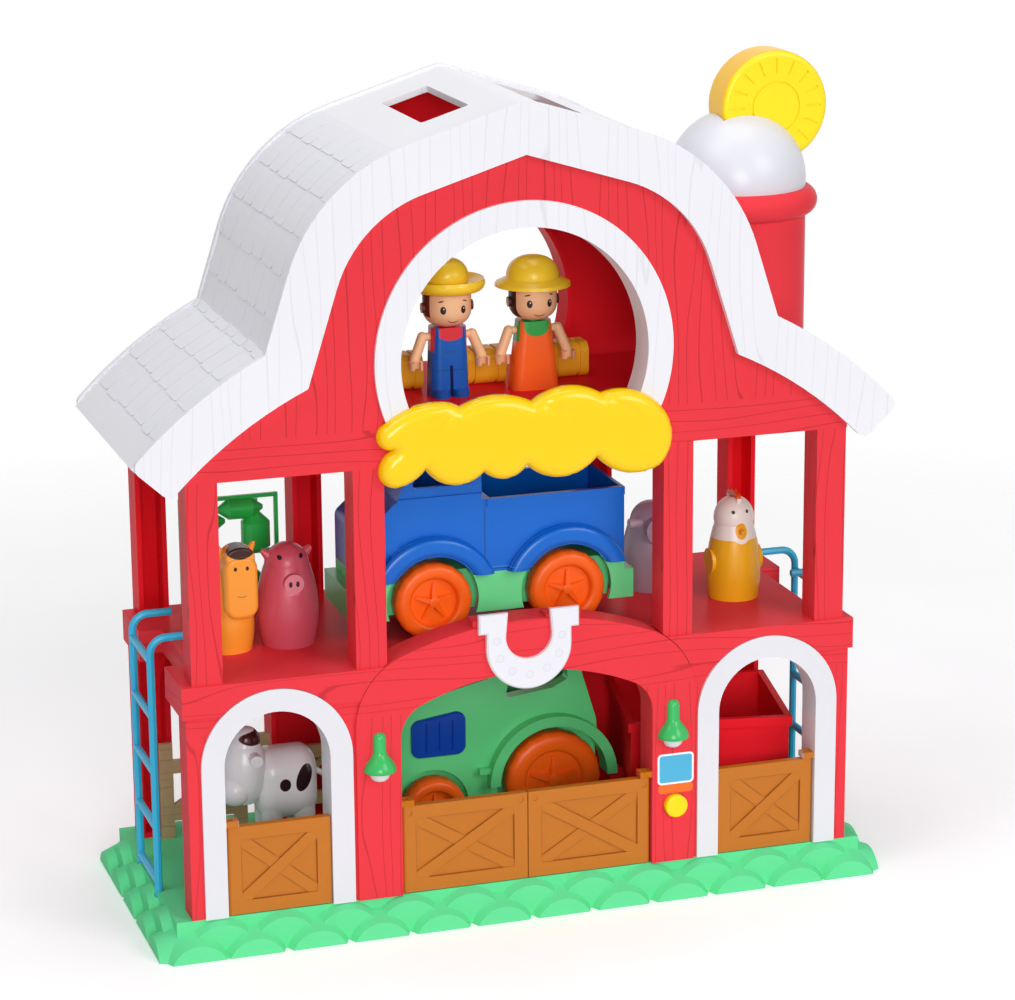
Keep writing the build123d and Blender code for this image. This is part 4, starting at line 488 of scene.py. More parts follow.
# %% Animals
PIG_X, HORSE_X, CHICKEN_X = -107.5, -134.5, 132
MANE_BROWN = "3A1712"
PATCH_BLACK = "2B1B1D"
printed(
    pig_pink,
    [
        *pair("round", PIG_X, 5.5, -24, 184.5, (1.2, 12, 1.2), 0, INK),
        ("box", (PIG_X, -29.5, 172), (6, 1.2, 6), 0, "E58797"),
        *pair("round", PIG_X, 1.8, -29, 172, (1, 2.9, 1.6), 0, "3A1014"),
    ],
)
printed(
    horse_orange,
    [
        ("box", (HORSE_X, -12, 196), (3.8, 9.5, 10), 0, MANE_BROWN),
        ("round", (HORSE_X, -29, 192.5), (7.4, 9, 4.8), 0, MANE_BROWN),
        *pair("round", HORSE_X, 3, -31, 183.2, (0.9, 4, 1.2), 0, INK),
        ("round", (HORSE_X, -31, 169.4), (2.6, 4, 0.9), 0, "A4601C"),
        ("round", (HORSE_X, -31, 169.8), (2.8, 4, 0.9), 0, "F5A544"),
    ],
)
printed(
    chicken_white,
    [
        ("box", (CHICKEN_X, -13, 150), (30, 30, 20.5), 0, "F4B71E"),
        ("round", (CHICKEN_X, -27, 172), (4.4, 9, 3.4), 0, "F5F0E8"),
        ("box", (CHICKEN_X, -13, 200), (3.6, 12, 8.6), 0, "E4521E"),
        ("round", (CHICKEN_X, -26, 175.3), (3.4, 9, 4.4), 0, "F0A81E"),
        *pair("round", CHICKEN_X, 3.8, -23, 185.2, (1, 5, 1), 0, INK),
    ],
)
printed(
    cow_white,
    [
        ("round", (-100.2, -11, 63.9), (3.9, 8, 7.6), 20, PATCH_BLACK),
        ("round", (-110.2, -11, 60.9), (3, 8, 3.4), 0, PATCH_BLACK),
        ("round", (-127, 1, 85.5), (8, 11, 5.2), 0, "46181B"),
        ("round", (-137, 3, 57.5), (9.5, 10, 9.5), 0, "F3A09C"),
        ("round", (-134.5, -6, 73), (1.3, 5, 1.5), 0, INK),
        ("round", (-134.5, 12, 73), (1.3, 5, 1.5), 0, INK),
    ],
)
print(len(cow_white.node_tree.nodes), "shader nodes in the cow's material")

# %% [markdown]
# ### Two-tone mouldings, painted shadow lines and a painted highlight
# Some pieces change colour or show a fine groove that a CAD edge can't: the truck's
# door gap and sill, the lugs over the gates in the gates' tan, and the sun's amber
# rim round its yellow face. On the truck, the lines are painted shade in the door gap
# and under the sill, with a painted highlight along the sill's top edge. A printed line
# is thin enough to pass for a groove.

# %% Truck, lugs and sun
printed(
    truck_blue,
    [
        # Painted shade in the door gap, a painted highlight on the sill's top edge and painted
        # shade under it.
        ("box", (-10.6, -36, 190), (0.35, 5, 18.5), 0, "034C9C"),
        ("box", (-2, -36, 172.8), (17, 5, 0.35), 0, "3E90E6"),
        ("box", (-2, -36, 172.1), (17, 5, 0.35), 0, "034C9C"),
    ],
)
LUG_Y, LUG_Z = -67.6, 66
for wall, lug_x in ((red_arch, 62.75), (trim_white, 151.85)):
    printed(wall, pair("box", 0, lug_x, LUG_Y, LUG_Z, (3.25, 4, 1.65), 0, TAN))
SUN_CENTRE = (165.6, 30, 387.6)
printed(
    sun_yellow,
    [
        ("box", SUN_CENTRE, (40, 10.5, 40), 0, "FFC62A"),
        ("round", SUN_CENTRE, (28.2, 60, 28.2), 0, "FFE51E"),
    ],
)
print("lugs at", LUG_Z, "mm, sun at", SUN_CENTRE[2], "mm")

# %% [markdown]
# ### Gate groove shadows
# A gate leaf is a frame with two crossed braces, one over the other. Soft shadows lie
# along their edges. They are thin printed lines, worked out from the leaf's own box:
# four along the frame, two along the upper brace, and two along the lower brace that
# stop where the upper one crosses it. Each leaf has its own material, since its lines
# lie at its own place.

# %% Gate lines
FRAME_SIDE, FRAME_RAIL = 7, 10
BRACE_HALF = 3
GATE_FRONT = -69
# Colour of the painted shadow along the edges of frame and braces.
GROOVE_SHADOW = "9C5A14"


def clipped(point, way, low, high):
    """How far along a line it enters and leaves a rectangle."""
    spans = [sorted(((a - p) / w, (b - p) / w)) for p, w, a, b in zip(point, way, low, high)]
    return max(span[0] for span in spans), min(span[1] for span in spans)


def groove_shadow_prints(name, rising):
    """The shadow lines of one leaf, whose upper brace rises to the right or falls."""
    box_low, box_high = (v / MM for v in map(Vector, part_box(name)))
    low = Vector((box_low.x + FRAME_SIDE, box_low.z + FRAME_RAIL))
    high = Vector((box_high.x - FRAME_SIDE, box_high.z - FRAME_RAIL))
    corners = [low, Vector((high.x, low.y)), high, Vector((low.x, high.y))]
    runs = list(zip(corners, corners[1:] + corners[:1]))
    middle = (low + high) / 2
    upper = Vector((high.x - low.x, rising * (high.y - low.y))).normalized()
    lower = Vector((upper.x, -upper.y))
    off_upper = Vector((-upper.y, upper.x))
    off_lower = Vector((-lower.y, lower.x))
    for off in (-BRACE_HALF, BRACE_HALF):
        start = middle + off * off_upper
        enter, leave = clipped(start, upper, low, high)
        runs.append((start + enter * upper, start + leave * upper))
        start = middle + off * off_lower
        enter, leave = clipped(start, lower, low, high)
        under, over = sorted(
            (side - (start - middle).dot(off_upper)) / lower.dot(off_upper)
            for side in (-BRACE_HALF, BRACE_HALF)
        )
        runs.append((start + enter * lower, start + under * lower))
        runs.append((start + over * lower, start + leave * lower))
    prints = []
    for a, b in runs:
        tilt = -math.degrees(math.atan2(b.y - a.y, b.x - a.x))
        spot = ((a.x + b.x) / 2, GATE_FRONT, (a.y + b.y) / 2)
        prints.append(("box", spot, ((b - a).length / 2, 4, 0.3), tilt, GROOVE_SHADOW))
    return prints


RISES = {"left_gate": 1, "centre_left_gate": 1, "centre_right_gate": -1, "right_gate": 1}
for name, rising in RISES.items():
    gate_skin = moulded("tan ABS, satin mould, " + name, TAN, 0.42, 2.4, 0.04)
    printed(gate_skin, groove_shadow_prints(name, rising))
    dress(name, gate_skin)
print(len(RISES), "gate leaves have grooves")

# %% [markdown]
# ### Horseshoe
# The horseshoe has seven shallow dimples where a real one has nail holes. They are too
# shallow to show as form, so each is painted shade: a pale disc a touch greyer than
# the shoe, with a thin darker rim.

# %% Dimples
DIMPLE_ROUND = 17  # radius of the arc that the dimples lie on, in mm
shoe_white = moulded("white ABS, pitted horseshoe", WHITE, 0.28)
shoe_low, shoe_high = (v / MM for v in map(Vector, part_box("horseshoe")))
dimples = []
for turn in (-96, -64, -32, 0, 32, 64, 96):
    spot = (
        (shoe_low.x + shoe_high.x) / 2 + DIMPLE_ROUND * math.sin(math.radians(turn)),
        -70,
        shoe_high.z - 15.5 - DIMPLE_ROUND * math.cos(math.radians(turn)),
    )
    # Painted shade of the dimple: a darker rim round a slightly greyer floor.
    dimples.append(("round", spot, (2.3, 9, 2.3), 0, "D3D3DE"))
    dimples.append(("round", spot, (1.95, 9, 1.95), 0, "E4E4EC"))
printed(shoe_white, dimples)
dress("horseshoe", shoe_white)
print(len(dimples) // 2, "dimples")

# %% [markdown]
# ## Roof shingles
# The moulded roof carries rows of thin overlapping shingles between its boards. They
# could be a bump, but their lower ends stand up by half a millimetre and catch the
# light at the edge, so they are thin solids. Rays cast down on the CAD roof find its
# curve, and each shingle is laid along that curve and tilted up towards its lower end.
# Widths vary a little, as in split wood.

# %% Along the roof's curve
def shell_line(name, y, reach, step):
    """Points along the upper side of a node at one y, with the length so far."""
    skin_mesh = nodes[name].data
    tree = BVHTree.FromPolygons(
        [v.co for v in skin_mesh.vertices], [p.vertices for p in skin_mesh.polygons]
    )
    points = []
    for k in range(int(2 * reach / step) + 1):
        x = -reach + k * step
        hit = tree.ray_cast(Vector((x, y, 0.6)), Vector((0, 0, -1)))[0]
        if hit:
            points.append(hit)
    lengths = [0.0]
    for before, after in zip(points, points[1:]):
        lengths.append(lengths[-1] + (after - before).length)
    return points, lengths


def along(points, lengths, length):
    """Point and upward normal at a length along the line."""
    for k in range(1, len(lengths)):
        if lengths[k] >= length:
            break
    share = (length - lengths[k - 1]) / max(lengths[k] - lengths[k - 1], 1e-9)
    run = points[k] - points[k - 1]
    normal = Vector((-run.z, 0, run.x)).normalized()
    return points[k - 1] + run * share, normal


# %% One shingle
def shingle(bm, line, start, end, y0, y1, low, high):
    """One shingle, raised by low at start and by high at end, with rounded end corners."""
    rounding = 2.2 * MM
    rows = 4
    across = (y0, y0 + rounding * 0.35, y0 + rounding, y1 - rounding, y1 - rounding * 0.35, y1)
    pull = (rounding, rounding * 0.35, 0, 0, rounding * 0.35, rounding)
    top = []
    foot = []
    for i in range(rows + 1):
        for y, back in zip(across, pull):
            share = i / rows
            stop = end - back * (1 if end > start else -1)
            spot, normal = along(*line, start + (stop - start) * share)
            lift = low + (high - low) * share
            spot = Vector((spot.x, y, spot.z))
            top.append(bm.verts.new(spot + normal * lift))
            foot.append(bm.verts.new(spot - normal * 0.2 * MM))
    count = len(across)
    for i in range(rows):
        for j in range(count - 1):
            a = i * count + j
            bm.faces.new((top[a], top[a + 1], top[a + count + 1], top[a + count]))
            bm.faces.new((foot[a + count], foot[a + count + 1], foot[a + 1], foot[a]))
    rim = [(i * count, (i + 1) * count) for i in range(rows)]
    rim += [(rows * count + j, rows * count + j + 1) for j in range(count - 1)]
    rim += [((i + 1) * count + count - 1, i * count + count - 1) for i in reversed(range(rows))]
    rim += [(j + 1, j) for j in reversed(range(count - 1))]
    for a, b in rim:
        bm.faces.new((top[a], top[b], foot[b], foot[a]))


# %% From mesh to object
def placed(bm, name):
    """Object in the scene from a mesh in metres, with its faces turned outwards."""
    bmesh.ops.recalc_face_normals(bm, faces=bm.faces)
    mesh = bpy.data.meshes.new(name)
    bm.to_mesh(mesh)
    bm.free()
    made = bpy.data.objects.new(name, mesh)
    bpy.context.scene.collection.objects.link(made)
    return made


# %% Rows of shingles, in metres
RIDGE_GAP = 0.066  # bare shell on each side of the ridge, for the handle holes
ROW_HEIGHT = 0.0205
ROW_OVERLAP = 0.0008
SHINGLE_GAP = 0.0002
SHINGLE_LIFT = (0.00012, 0.00055)  # of a shingle's upper and lower end
ROOF_FRONT, ROOF_REAR = -0.0688, 0.0660


def shingles():
    """All rows on both slopes, as one piece."""
    line = shell_line("roof", 0.05, 0.1945, 0.0015)
    total = line[1][-1]
    bm = bmesh.new()
    for side in (-1, 1):
        rows = int((total / 2 - RIDGE_GAP - 0.004) / ROW_HEIGHT)
        for row in range(rows):
            near = total / 2 + side * (RIDGE_GAP + row * ROW_HEIGHT)
            far = total / 2 + side * (RIDGE_GAP + (row + 1) * ROW_HEIGHT + ROW_OVERLAP)
            y = -0.0690 - random.uniform(0, 0.012)
            while y < ROOF_REAR:
                wide = random.uniform(0.016, 0.024)
                y0 = max(y + SHINGLE_GAP, ROOF_FRONT)
                y1 = min(y + wide - SHINGLE_GAP, ROOF_REAR)
                if y1 - y0 > 0.005:
                    drop = random.uniform(-0.0008, 0.0008) * side
                    shingle(bm, line, near, far + drop, y0, y1, *SHINGLE_LIFT)
                y += wide
    made = placed(bm, "roof_shingles")
    made.data.materials.append(white_plain)
    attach(made, "playset")
    return made


roof_shingles = shingles()
print(len(roof_shingles.data.polygons), "shingle faces")

# %% [markdown]
# ## Hay awning
# The awning over the beam is a puffy moulding shaped like tufts of hay: its front swells
# from a scalloped edge, and creases run in from the notches. Sculpting it would work,
# but its edge is a chain of round arcs, so it is measured as such. The area inside is
# filled with a fine net of points, and each point is lifted by how far it lies from
# the edge, less a dent near a crease. It takes the place of the plainer CAD awning.

# %% Awning's edge and creases
HAY_ARCS = (
    (-68.3, 247.3), (-75.8, 252.3), (-72.8, 259.5), (-57.7, 267.5), (-43.4, 268.8),
    (-38.3, 267.9), (-34.2, 265.8), (-16.1, 270.1), (2.5, 265.6), (19.8, 271.8),
    (38.2, 266.9), (55, 267.2), (68.8, 258.4), (75, 243.1), (68.5, 228.2),
    (50, 226), (35.5, 235.2), (16.0, 226.6), (-0.5, 234.2), (-13.4, 228.2),
    (-22.4, 232.6), (-38.3, 227.2), (-51.9, 236.2), (-57.8, 231.2), (-65.5, 228.4),
    (-72.6, 230.5), (-75.2, 236.8), (-72.9, 243.2), (-68.3, 247.3),
)
HAY_CREASES = (
    ((-34.8, 266.6), (-42.2, 264.2), (-53.4, 259.6)),
    ((-34.6, 265.8), (-41.4, 261.6), (-44.3, 254.3)),
    ((2.3, 266), (11.6, 261.7), (18.3, 251.5)),
    ((7.4, 266.1), (14.7, 262.4), (21.0, 258.4)),
    ((37.8, 267), (46.3, 261.4), (53.7, 251.1)),
    ((47.8, 261.8), (56.9, 254.9), (63.4, 245.0)),
)


def arc_points(start, middle, end, step):
    """Points on the arc through three points, without its end."""
    a, b, c = (Vector(p) for p in (start, middle, end))
    d = 2 * (a.x * (b.y - c.y) + b.x * (c.y - a.y) + c.x * (a.y - b.y))
    square = [v.dot(v) for v in (a, b, c)]
    x = (square[0] * (b.y - c.y) + square[1] * (c.y - a.y) + square[2] * (a.y - b.y)) / d
    y = (square[0] * (c.x - b.x) + square[1] * (a.x - c.x) + square[2] * (b.x - a.x)) / d
    centre = Vector((x, y))
    radius = (a - centre).length
    turns = [math.atan2((v - centre).y, (v - centre).x) for v in (a, b, c)]
    way = 1 if d > 0 else -1
    sweep = (turns[2] - turns[0]) * way % math.tau
    count = max(3, int(radius * sweep / step))
    out = []
    for k in range(count):
        turn = turns[0] + way * sweep * k / count
        out.append(centre + radius * Vector((math.cos(turn), math.sin(turn))))
    return out


def to_segment(p, a, b):
    """Distance from p to the segment ab and the share along it."""
    run = b - a
    share = min(1, max(0, (p - a).dot(run) / run.dot(run)))
    return (p - a - run * share).length, share


# %% Swollen plate
CREASE_HALF = 0.9
CREASE_DEPTH = 1.1


def puffy(name, outline, creases, back, depth, rounding, grid):
    """Swollen plate in the XZ plane; back(x, z) gives the y of its rear side."""
    size = len(outline)
    low = Vector((min(p.x for p in outline), min(p.y for p in outline)))
    high = Vector((max(p.x for p in outline), max(p.y for p in outline)))
    inner = []
    for i in range(int((high.x - low.x) / grid)):
        for j in range(int((high.y - low.y) / grid)):
            inner.append(low + Vector((i + 0.5 + 0.25 * (j % 2), j + 0.5)) * grid)
    lines = [arc_points(*crease, 1.5) + [Vector(crease[2])] for crease in creases]

    def height(spot):
        gap = min(to_segment(spot, outline[k - 1], outline[k])[0] for k in range(size))
        near = min(gap / rounding, 1)
        level = 0.3 + 0.7 * math.sqrt(1 - (1 - near) ** 2)
        dent = 0
        for line in lines:
            for k in range(1, len(line)):
                off, share = to_segment(spot, line[k - 1], line[k])
                left = 1 - (k - 1 + share) / (len(line) - 1)
                dent = max(dent, (0.25 + 0.75 * left) * math.exp(-((off / CREASE_HALF) ** 2)))
        return depth * level - CREASE_DEPTH * dent * near

    points = list(outline) + inner
    edges = [(k, (k + 1) % size) for k in range(size)]
    spots, _, faces, _, _, _ = delaunay_2d_cdt(points, edges, [list(range(size))], 1, 1e-4)
    bm = bmesh.new()
    front = []
    rear = []
    for spot in spots:
        front.append(bm.verts.new((spot.x, -69 - height(spot), spot.y)))
        rear.append(bm.verts.new((spot.x, back(spot.x, spot.y), spot.y)))
    for face in faces:
        bm.faces.new([front[k] for k in face])
        bm.faces.new([rear[k] for k in reversed(face)])
    bm.edges.ensure_lookup_table()
    twins = dict(zip(front, rear))
    for edge in [e for e in bm.edges if e.is_boundary and e.verts[0] in twins]:
        a, b = edge.verts
        bm.faces.new((a, b, twins[b], twins[a]))
    bmesh.ops.scale(bm, vec=(MM, MM, MM), verts=bm.verts)
    for face in bm.faces:
        face.smooth = True
    return placed(bm, name)


# %% Awning
def behind_awning(x, z):
    """The awning is hollowed where it passes over the window ring."""
    radius = math.hypot(x, z - 288)
    return -71.1 if 62 < radius < 77 and z > 257 else -69.0


hay_edge = []
for k in range(0, len(HAY_ARCS) - 2, 2):
    hay_edge += arc_points(*HAY_ARCS[k : k + 3], 1.0)
hay = puffy("hay_tufts", hay_edge, HAY_CREASES, behind_awning, 7.9, 6.5, 1.3)
hay.data.materials.append(hay_yellow)
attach(hay, "playset")
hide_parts("hay_awning")
print(len(hay.data.polygons), "awning faces")

# %% [markdown]
# ## Turned pieces
# The barn lamps and the wheels are round about an axis. A screw modifier could turn
# them, but here one function sweeps a profile of radius and height pairs in
# millimetres, and can flatten the widest rings into the facets of a tyre's tread.

# %% Lathe
def lathe(bm, profile, place, axis, count, corner=0):
    """Sweeps (radius, height) points in mm round an axis; corner flattens the widest rings."""
    widest = max(radius for radius, _ in profile)
    rings = []
    for radius, height in profile:
        ring = []
        for k in range(count):
            turn = math.tau * k / count
            reach = radius
            if corner and radius > 0.93 * widest:
                half = math.pi / corner
                reach *= math.cos(half) / math.cos((turn % (2 * half)) - half)
            a, b = reach * math.cos(turn), reach * math.sin(turn)
            spot = (a, b, height) if axis == "Z" else (a, height, b)
            ring.append(bm.verts.new([(p + q) * MM for p, q in zip(place, spot)]))
        rings.append(ring)
    for one, two in zip(rings, rings[1:]):
        for k in range(count):
            bm.faces.new((one[k], one[(k + 1) % count], two[(k + 1) % count], two[k]))


def finished(bm, name, body, smooth_angle):
    """Object on its body, smooth except at edges sharper than an angle in degrees."""
    bmesh.ops.remove_doubles(bm, verts=bm.verts, dist=1e-6)
    made = placed(bm, name)
    made.data.shade_smooth()
    made.data.set_sharp_from_angle(angle=math.radians(smooth_angle))
    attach(made, body)
    return made


# %% [markdown]
# ### Barn lamps
# Each lamp on the front is a bell-shaped shade on a stem with a pearly bulb below. The
# profiles are read from the front, from the top of the stem down.

# %% Barn lamps
LAMP_SHADE = (
    (0.01, 105), (1.6, 104.8), (2.8, 103.8), (3.4, 102), (3.4, 95), (4.0, 93.2), (5.6, 91.2),
    (7.3, 88.8), (8.2, 86.6), (8.35, 85.4), (7.9, 84.9), (5.3, 85.1),
)
LAMP_BULB = ((5.3, 85.3), (5.25, 83.6), (4.7, 81.7), (3.4, 80.3), (1.6, 79.8), (0.01, 79.7))
LAMP_HALF = 8.4
lamp_low, lamp_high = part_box("lamps")
lamp_glass = moulded("pearl white ABS, polished mould", "DCDCE0", 0.22)
for part_name, profile, material in (
    ("lamp_shades", LAMP_SHADE, lamp_green),
    ("lamp_bulbs", LAMP_BULB, lamp_glass),
):
    bm = bmesh.new()
    for x in (lamp_low[0] / MM + LAMP_HALF, lamp_high[0] / MM - LAMP_HALF):
        lathe(bm, profile, (x, -70, 0), "Z", 40)
    made = finished(bm, part_name, "playset", 50)
    made.data.materials.append(material)
    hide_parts("lamps")
print("lamp shades and bulbs from", len(LAMP_SHADE) + len(LAMP_BULB), "profile points")

# %% [markdown]
# ### Wheels
# A toy wheel is one moulding: a rounded tyre with a flat-sided tread, a sunk disc, and
# a five-pointed star that stands up from it. The CAD wheels have chamfered tyres and
# straight spokes, so these take their place and ride on the same turning bodies, on
# every axle but the trailer's, which keeps its CAD wheels.

# %% Wheels
WHEEL_WIDTH = 12
TREAD_FLATS = 18
DISC_DEPTH = 0.3  # of the width; the star's foot lies a little deeper
STAR_FOOT = 0.31
SPOKE_ROWS = ((0, 0.08, 0.1), (0.18, 0.075, 0.12), (0.5, 0.03, 0.22))  # reach, half width, depth


def wheel_profile(radius, width):
    """Rounded tyre with a sunk disc, from the hub outwards and back to the hub."""
    rim = (
        (0.585, DISC_DEPTH), (0.6, 0.27), (0.61, 0.12), (0.635, 0.05), (0.68, 0.012),
        (0.76, 0), (0.85, 0.015), (0.915, 0.06), (0.96, 0.13), (0.99, 0.2), (1, 0.27),
        (1, 0.8), (0.96, 0.94), (0.9, 1),
    )
    profile = [(r * radius, w * width) for r, w in rim]
    return [(0.01, DISC_DEPTH * width)] + profile + [(0.01, width)]


def star(bm, x, y, z, radius, width, facing):
    """Five tapered spokes that stand up from the sunk disc."""
    for k in range(5):
        turn = math.tau * k / 5 + math.pi / 2
        out = Vector((math.cos(turn), math.sin(turn)))
        side = Vector((-out.y, out.x))
        rows = []
        for reach, half, lift in SPOKE_ROWS:
            row = []
            for w, depth in ((-1.25, STAR_FOOT), (-0.8, lift), (0.8, lift), (1.25, STAR_FOOT)):
                spot = (out * reach + side * w * half) * radius
                place = (x + spot.x, y + facing * depth * width, z + spot.y)
                row.append(bm.verts.new([v * MM for v in place]))
            rows.append(row)
        for one, two in zip(rows, rows[1:]):
            for j in range(3):
                bm.faces.new((one[j], one[j + 1], two[j + 1], two[j]))
        bm.faces.new(rows[-1])


def wheels(name, width):
    """Both wheels of an axle, on the body that turns."""
    low, high = (v / MM for v in map(Vector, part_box(name)))
    radius = (high.x - low.x) / 2
    x, z = (high.x + low.x) / 2, (high.z + low.z) / 2
    bm = bmesh.new()
    for y, facing in ((low.y, 1), (high.y, -1)):
        profile = [(r, facing * h) for r, h in wheel_profile(radius, width)]
        lathe(bm, profile, (x, y, z), "Y", 90, TREAD_FLATS)
        star(bm, x, y, z, radius, width, facing)
        hub = ((0.15, STAR_FOOT), (0.13, 0.08), (0.1, 0.06), (0.01 / radius, 0.06))
        hub = [(r * radius, facing * w * width) for r, w in hub]
        lathe(bm, hub, (x, y, z), "Y", 30)
    made = finished(bm, name.replace("wheels", "tyres"), name.replace("wheels", "wheelset"), 40)
    made.data.materials.append(wheel_orange)
    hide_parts(name)


STARRED = [name + "_wheels" for name in AXLED if name != "trailer"]
for name in STARRED:
    wheels(name, WHEEL_WIDTH)
print(len(STARRED), "wheel pairs")

# %% [markdown]
# ## Truck fenders
# The truck's fenders swell out over the wheels and carry its brightest highlights. The
# CAD fenders are flat, so a rounded arch is laid over each: points on arcs about the
# axle, from the wheel well to the fender's rim, are lifted by half an ellipse. Each
# arc ends at the sill, where the blue body meets the green chassis.

# %% Fenders
SILL = 170.7
FENDER_INNER, FENDER_WIDTH = 24.3, 9.4
body_low, body_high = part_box("truck_body")


def fender(bm, x, z, side_y, facing, bulge):
    """Rounded arch over a wheel, down to the sill, swelling out from the truck's side."""
    turns, shares = 44, 10
    front, rear = [], []
    for k in range(turns + 1):
        for j in range(shares + 1):
            t = j / shares
            radius = FENDER_INNER + FENDER_WIDTH * t
            lowest = math.asin((SILL - z) / radius)
            turn = lowest + (math.pi - 2 * lowest) * k / turns
            spot = (x + radius * math.cos(turn), z + radius * math.sin(turn))
            lift = bulge * math.sqrt(1 - (2 * t - 1) ** 2)
            for y, row in ((side_y + facing * lift, front), (side_y - facing * 0.5, rear)):
                across = min(spot[0], body_high[0] / MM)
                row.append(bm.verts.new((across * MM, y * MM, spot[1] * MM)))
    wide = shares + 1
    for k in range(turns):
        for j in range(shares):
            a = k * wide + j
            bm.faces.new((front[a], front[a + 1], front[a + wide + 1], front[a + wide]))
            bm.faces.new((rear[a + wide], rear[a + wide + 1], rear[a + 1], rear[a]))
        for a in (k * wide, k * wide + shares):
            bm.faces.new((front[a], front[a + wide], rear[a + wide], rear[a]))
    for k in (0, turns * wide):
        for j in range(shares):
            bm.faces.new((front[k + j], front[k + j + 1], rear[k + j + 1], rear[k + j]))


bm = bmesh.new()
for name in ("truck_front_wheels", "truck_rear_wheels"):
    low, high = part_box(name)
    wheel_x, wheel_z = (low[0] + high[0]) / 2 / MM, (low[2] + high[2]) / 2 / MM
    fender(bm, wheel_x, wheel_z, body_low[1] / MM + 0.1, -1, 1.9)
    fender(bm, wheel_x, wheel_z, body_high[1] / MM - 0.1, 1, 1.9)
fenders = finished(bm, "truck_fenders", "playset", 60)
fenders.data.materials.append(truck_blue)
print(len(fenders.data.polygons), "fender faces")

# %% [markdown]
# ## Button label
# A bare label sits above the button: blue with a white edge and an orange foot. Vinyl
# labels are about 0.1 mm thick, so these are thin plates with rounded corners, stacked
# like the real ones, and not a painted patch.


# %% Plate
def plate(name, centre, width, height, rounding, y, thickness, material):
    """Thin rounded plate that faces the front."""
    bm = bmesh.new()
    ring = []
    for sx, sz, start in ((1, 1, 0), (-1, 1, 90), (-1, -1, 180), (1, -1, 270)):
        for k in range(7):
            turn = math.radians(start + 15 * k)
            x = centre[0] + sx * (width / 2 - rounding) + rounding * math.cos(turn)
            z = centre[1] + sz * (height / 2 - rounding) + rounding * math.sin(turn)
            ring.append(bm.verts.new((x * MM, y * MM, z * MM)))
    face = bm.faces.new(ring)
    raised = bmesh.ops.extrude_face_region(bm, geom=[face])
    moved = [item for item in raised["geom"] if isinstance(item, bmesh.types.BMVert)]
    bmesh.ops.translate(bm, vec=(0, -thickness * MM, 0), verts=moved)
    made = placed(bm, name)
    made.data.materials.append(material)
    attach(made, "playset")


# %% Label
LABEL_X, LABEL_Z = 78.5, 67.9
LABEL_Y = -70.55
label_white = moulded("white vinyl label stock", "F4F6FA", 0.3, 0.8, 0.005)
label_blue = moulded("sky blue label print", "4FB2DA", 0.3, 0.8, 0.005)
label_orange = moulded("orange label print", "F0701E", 0.3, 0.8, 0.005)
centre = (LABEL_X, LABEL_Z)
plate("label_edge", centre, 19.5, 16.4, 2.2, LABEL_Y, 0.12, label_white)
plate("label_face", centre, 17.5, 14.4, 1.5, LABEL_Y - 0.12, 0.05, label_blue)
foot = (LABEL_X, LABEL_Z - 10.6)
plate("label_foot", foot, 18.6, 4.8, 1.6, LABEL_Y, 0.16, label_orange)
print("label at", centre, "mm")

# %% [markdown]
# ## Studio
# The toy stands on a white vinyl floor in a white room. An endless floor would show a
# grey horizon, so the vinyl fades out far from the toy, where the white world shows
# instead. It glows faintly for camera rays only, which whitens the picture's ground and
# keeps the soft shadow, without more light on the toy.

# %% Floor
FADE_FROM, FADE_TO = 0.45, 0.95
FLOOR_GLOW = 0.18


def studio_vinyl():
    """White vinyl that fades out far from the toy."""
    material = moulded("white studio vinyl", "FBFBFD", 0.75, 3, 0.02)
    tree = material.node_tree
    shader = tree.nodes["Principled BSDF"]
    rays = node(tree, "ShaderNodeLightPath").outputs
    glow = node(
        tree, "ShaderNodeMath", {0: rays["Is Camera Ray"], 1: FLOOR_GLOW}, operation="MULTIPLY"
    )
    shader.inputs["Emission Color"].default_value = (1, 1, 1, 1)
    tree.links.new(glow.outputs[0], shader.inputs["Emission Strength"])
    place = node(tree, "ShaderNodeTexCoord").outputs["Object"]
    away = node(tree, "ShaderNodeVectorMath", {0: place}, operation="LENGTH")
    share = node(
        tree,
        "ShaderNodeMapRange",
        {"Value": away.outputs["Value"], "From Min": FADE_FROM, "From Max": FADE_TO},
    )
    clear = node(tree, "ShaderNodeBsdfTransparent")
    mixed = node(
        tree,
        "ShaderNodeMixShader",
        {0: share.outputs["Result"], 1: shader.outputs["BSDF"], 2: clear.outputs["BSDF"]},
    )
    tree.links.new(mixed.outputs["Shader"], tree.nodes["Material Output"].inputs["Surface"])
    return material


bpy.ops.mesh.primitive_plane_add(size=3, location=(0, 0, -0.0002))
floor = bpy.context.object
floor.name = "studio_floor"
floor.data.materials.append(studio_vinyl())
print("floor fades out from", FADE_FROM, "to", FADE_TO, "m")

# %% [markdown]
# ### World and lamps
# The world is white for what the camera sees, for mirror reflections and for light
# that comes through, and dim for the rest, so that it fills the shadows only a little.
# Four large soft lamps do the lighting. The strongest stands behind the camera, so that
# it reaches into the rooms that the camera sees.

# %% World
WORLD_FILL = 0.22
world = bpy.data.worlds.new("studio")
bpy.context.scene.world = world
world.use_nodes = True
sky = world.node_tree
rays = node(sky, "ShaderNodeLightPath").outputs
seen = rays["Is Camera Ray"]
for kind in ("Is Transmission Ray", "Is Glossy Ray"):
    seen = node(sky, "ShaderNodeMath", {0: seen, 1: rays[kind]}, operation="MAXIMUM").outputs[0]
strength = node(
    sky, "ShaderNodeMapRange", {"Value": seen, "To Min": WORLD_FILL, "To Max": 1}
)
background = sky.nodes["Background"]
background.inputs["Color"].default_value = (1, 1, 1, 1)
sky.links.new(strength.outputs["Result"], background.inputs["Strength"])
print("the world fills with", WORLD_FILL)

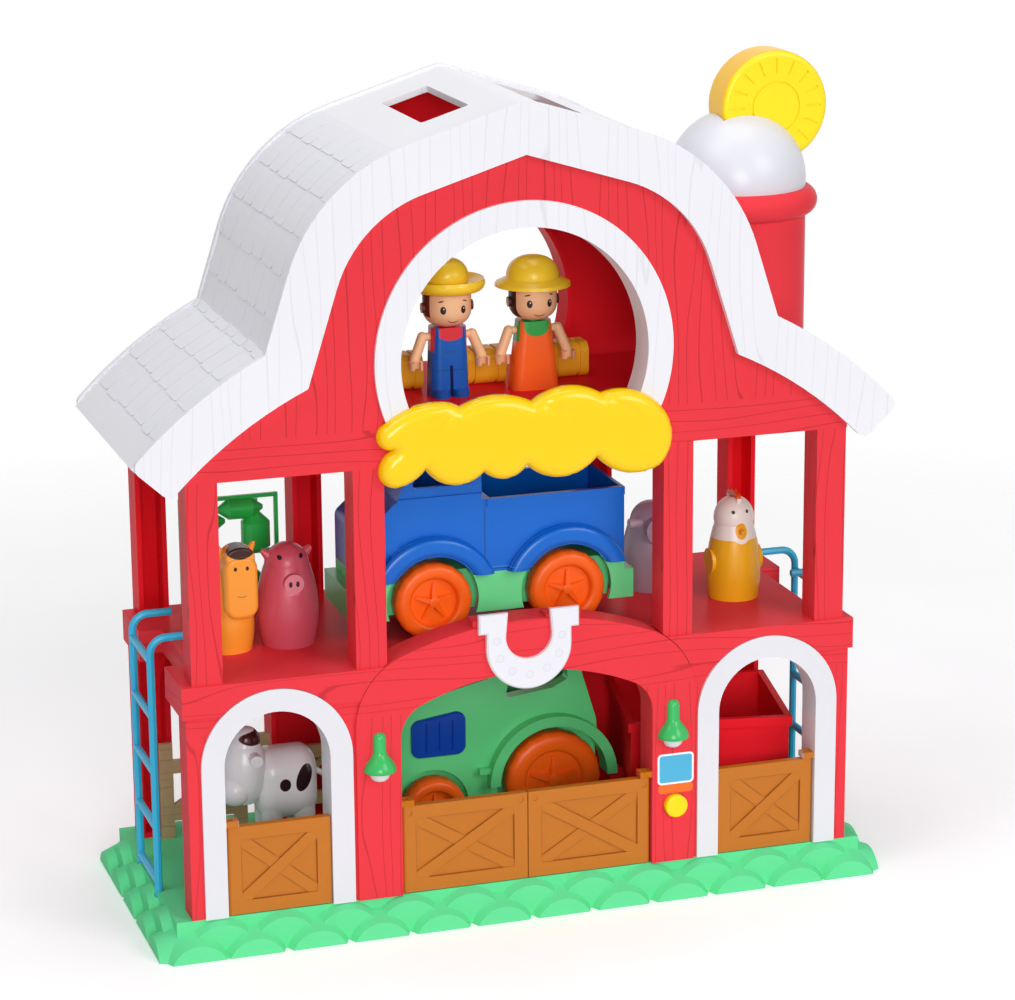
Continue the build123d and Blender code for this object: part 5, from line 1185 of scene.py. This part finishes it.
# %% Lamps
LIT_POINT = Vector((0, 0, 0.2))
SOFT_LAMPS = {  # place in m, size across in m, power in W
    "front_softbox": ((-0.5, -2.3, 0.72), 1.0, 23.5),
    "left_softbox": ((-1.0, -0.4, 1.9), 1.0, 8),
    "right_softbox": ((1.1, -1.8, 1.3), 1.2, 17),
    "top_softbox": ((0.1, 0.1, 2.2), 1.6, 16),
}
for name, (place, size, power) in SOFT_LAMPS.items():
    lamp = bpy.data.lights.new(name, "AREA")
    lamp.shape = "DISK"
    lamp.size = size
    lamp.energy = power
    holder = bpy.data.objects.new(name, lamp)
    bpy.context.scene.collection.objects.link(holder)
    holder.location = place
    holder.rotation_euler = (LIT_POINT - Vector(place)).to_track_quat("-Z", "Y").to_euler()
print(len(SOFT_LAMPS), "soft lamps")

# %% [markdown]
# ## Camera
# The camera stands left of the front and a little above, at the place worked out from
# the corners of the walls, posts, roof and base. It is far away with a long lens, so
# upright lines stay nearly parallel.

# %% Camera
FOCAL_PX = 3321.4
IMAGE_WIDTH = 1015
SENSOR_MM = 36
target = Vector((9.953, -9.0, 199.42)) * MM
distance = 1685.8 * MM
azimuth = math.radians(-18.0)
elevation = math.radians(15.195)
roll = math.radians(-0.436)
flat = math.cos(elevation)
towards = Vector((math.sin(azimuth) * flat, -math.cos(azimuth) * flat, math.sin(elevation)))
camera = bpy.data.objects.new("camera", bpy.data.cameras.new("camera"))
bpy.context.scene.collection.objects.link(camera)
camera.data.sensor_width = SENSOR_MM
camera.data.lens = FOCAL_PX / IMAGE_WIDTH * SENSOR_MM
right = Vector((0, 0, 1)).cross(towards).normalized()
up = towards.cross(right)
turned_right = right * math.cos(roll) + up * math.sin(roll)
turned_up = up * math.cos(roll) - right * math.sin(roll)
turn = Matrix((turned_right, turned_up, towards)).transposed()
camera.matrix_world = Matrix.Translation(target + towards * distance) @ turn.to_4x4()
camera.data.clip_start = 0.05
bpy.context.scene.camera = camera
bpy.context.scene.view_settings.view_transform = "Standard"
print("camera at", [round(v, 3) for v in camera.location])
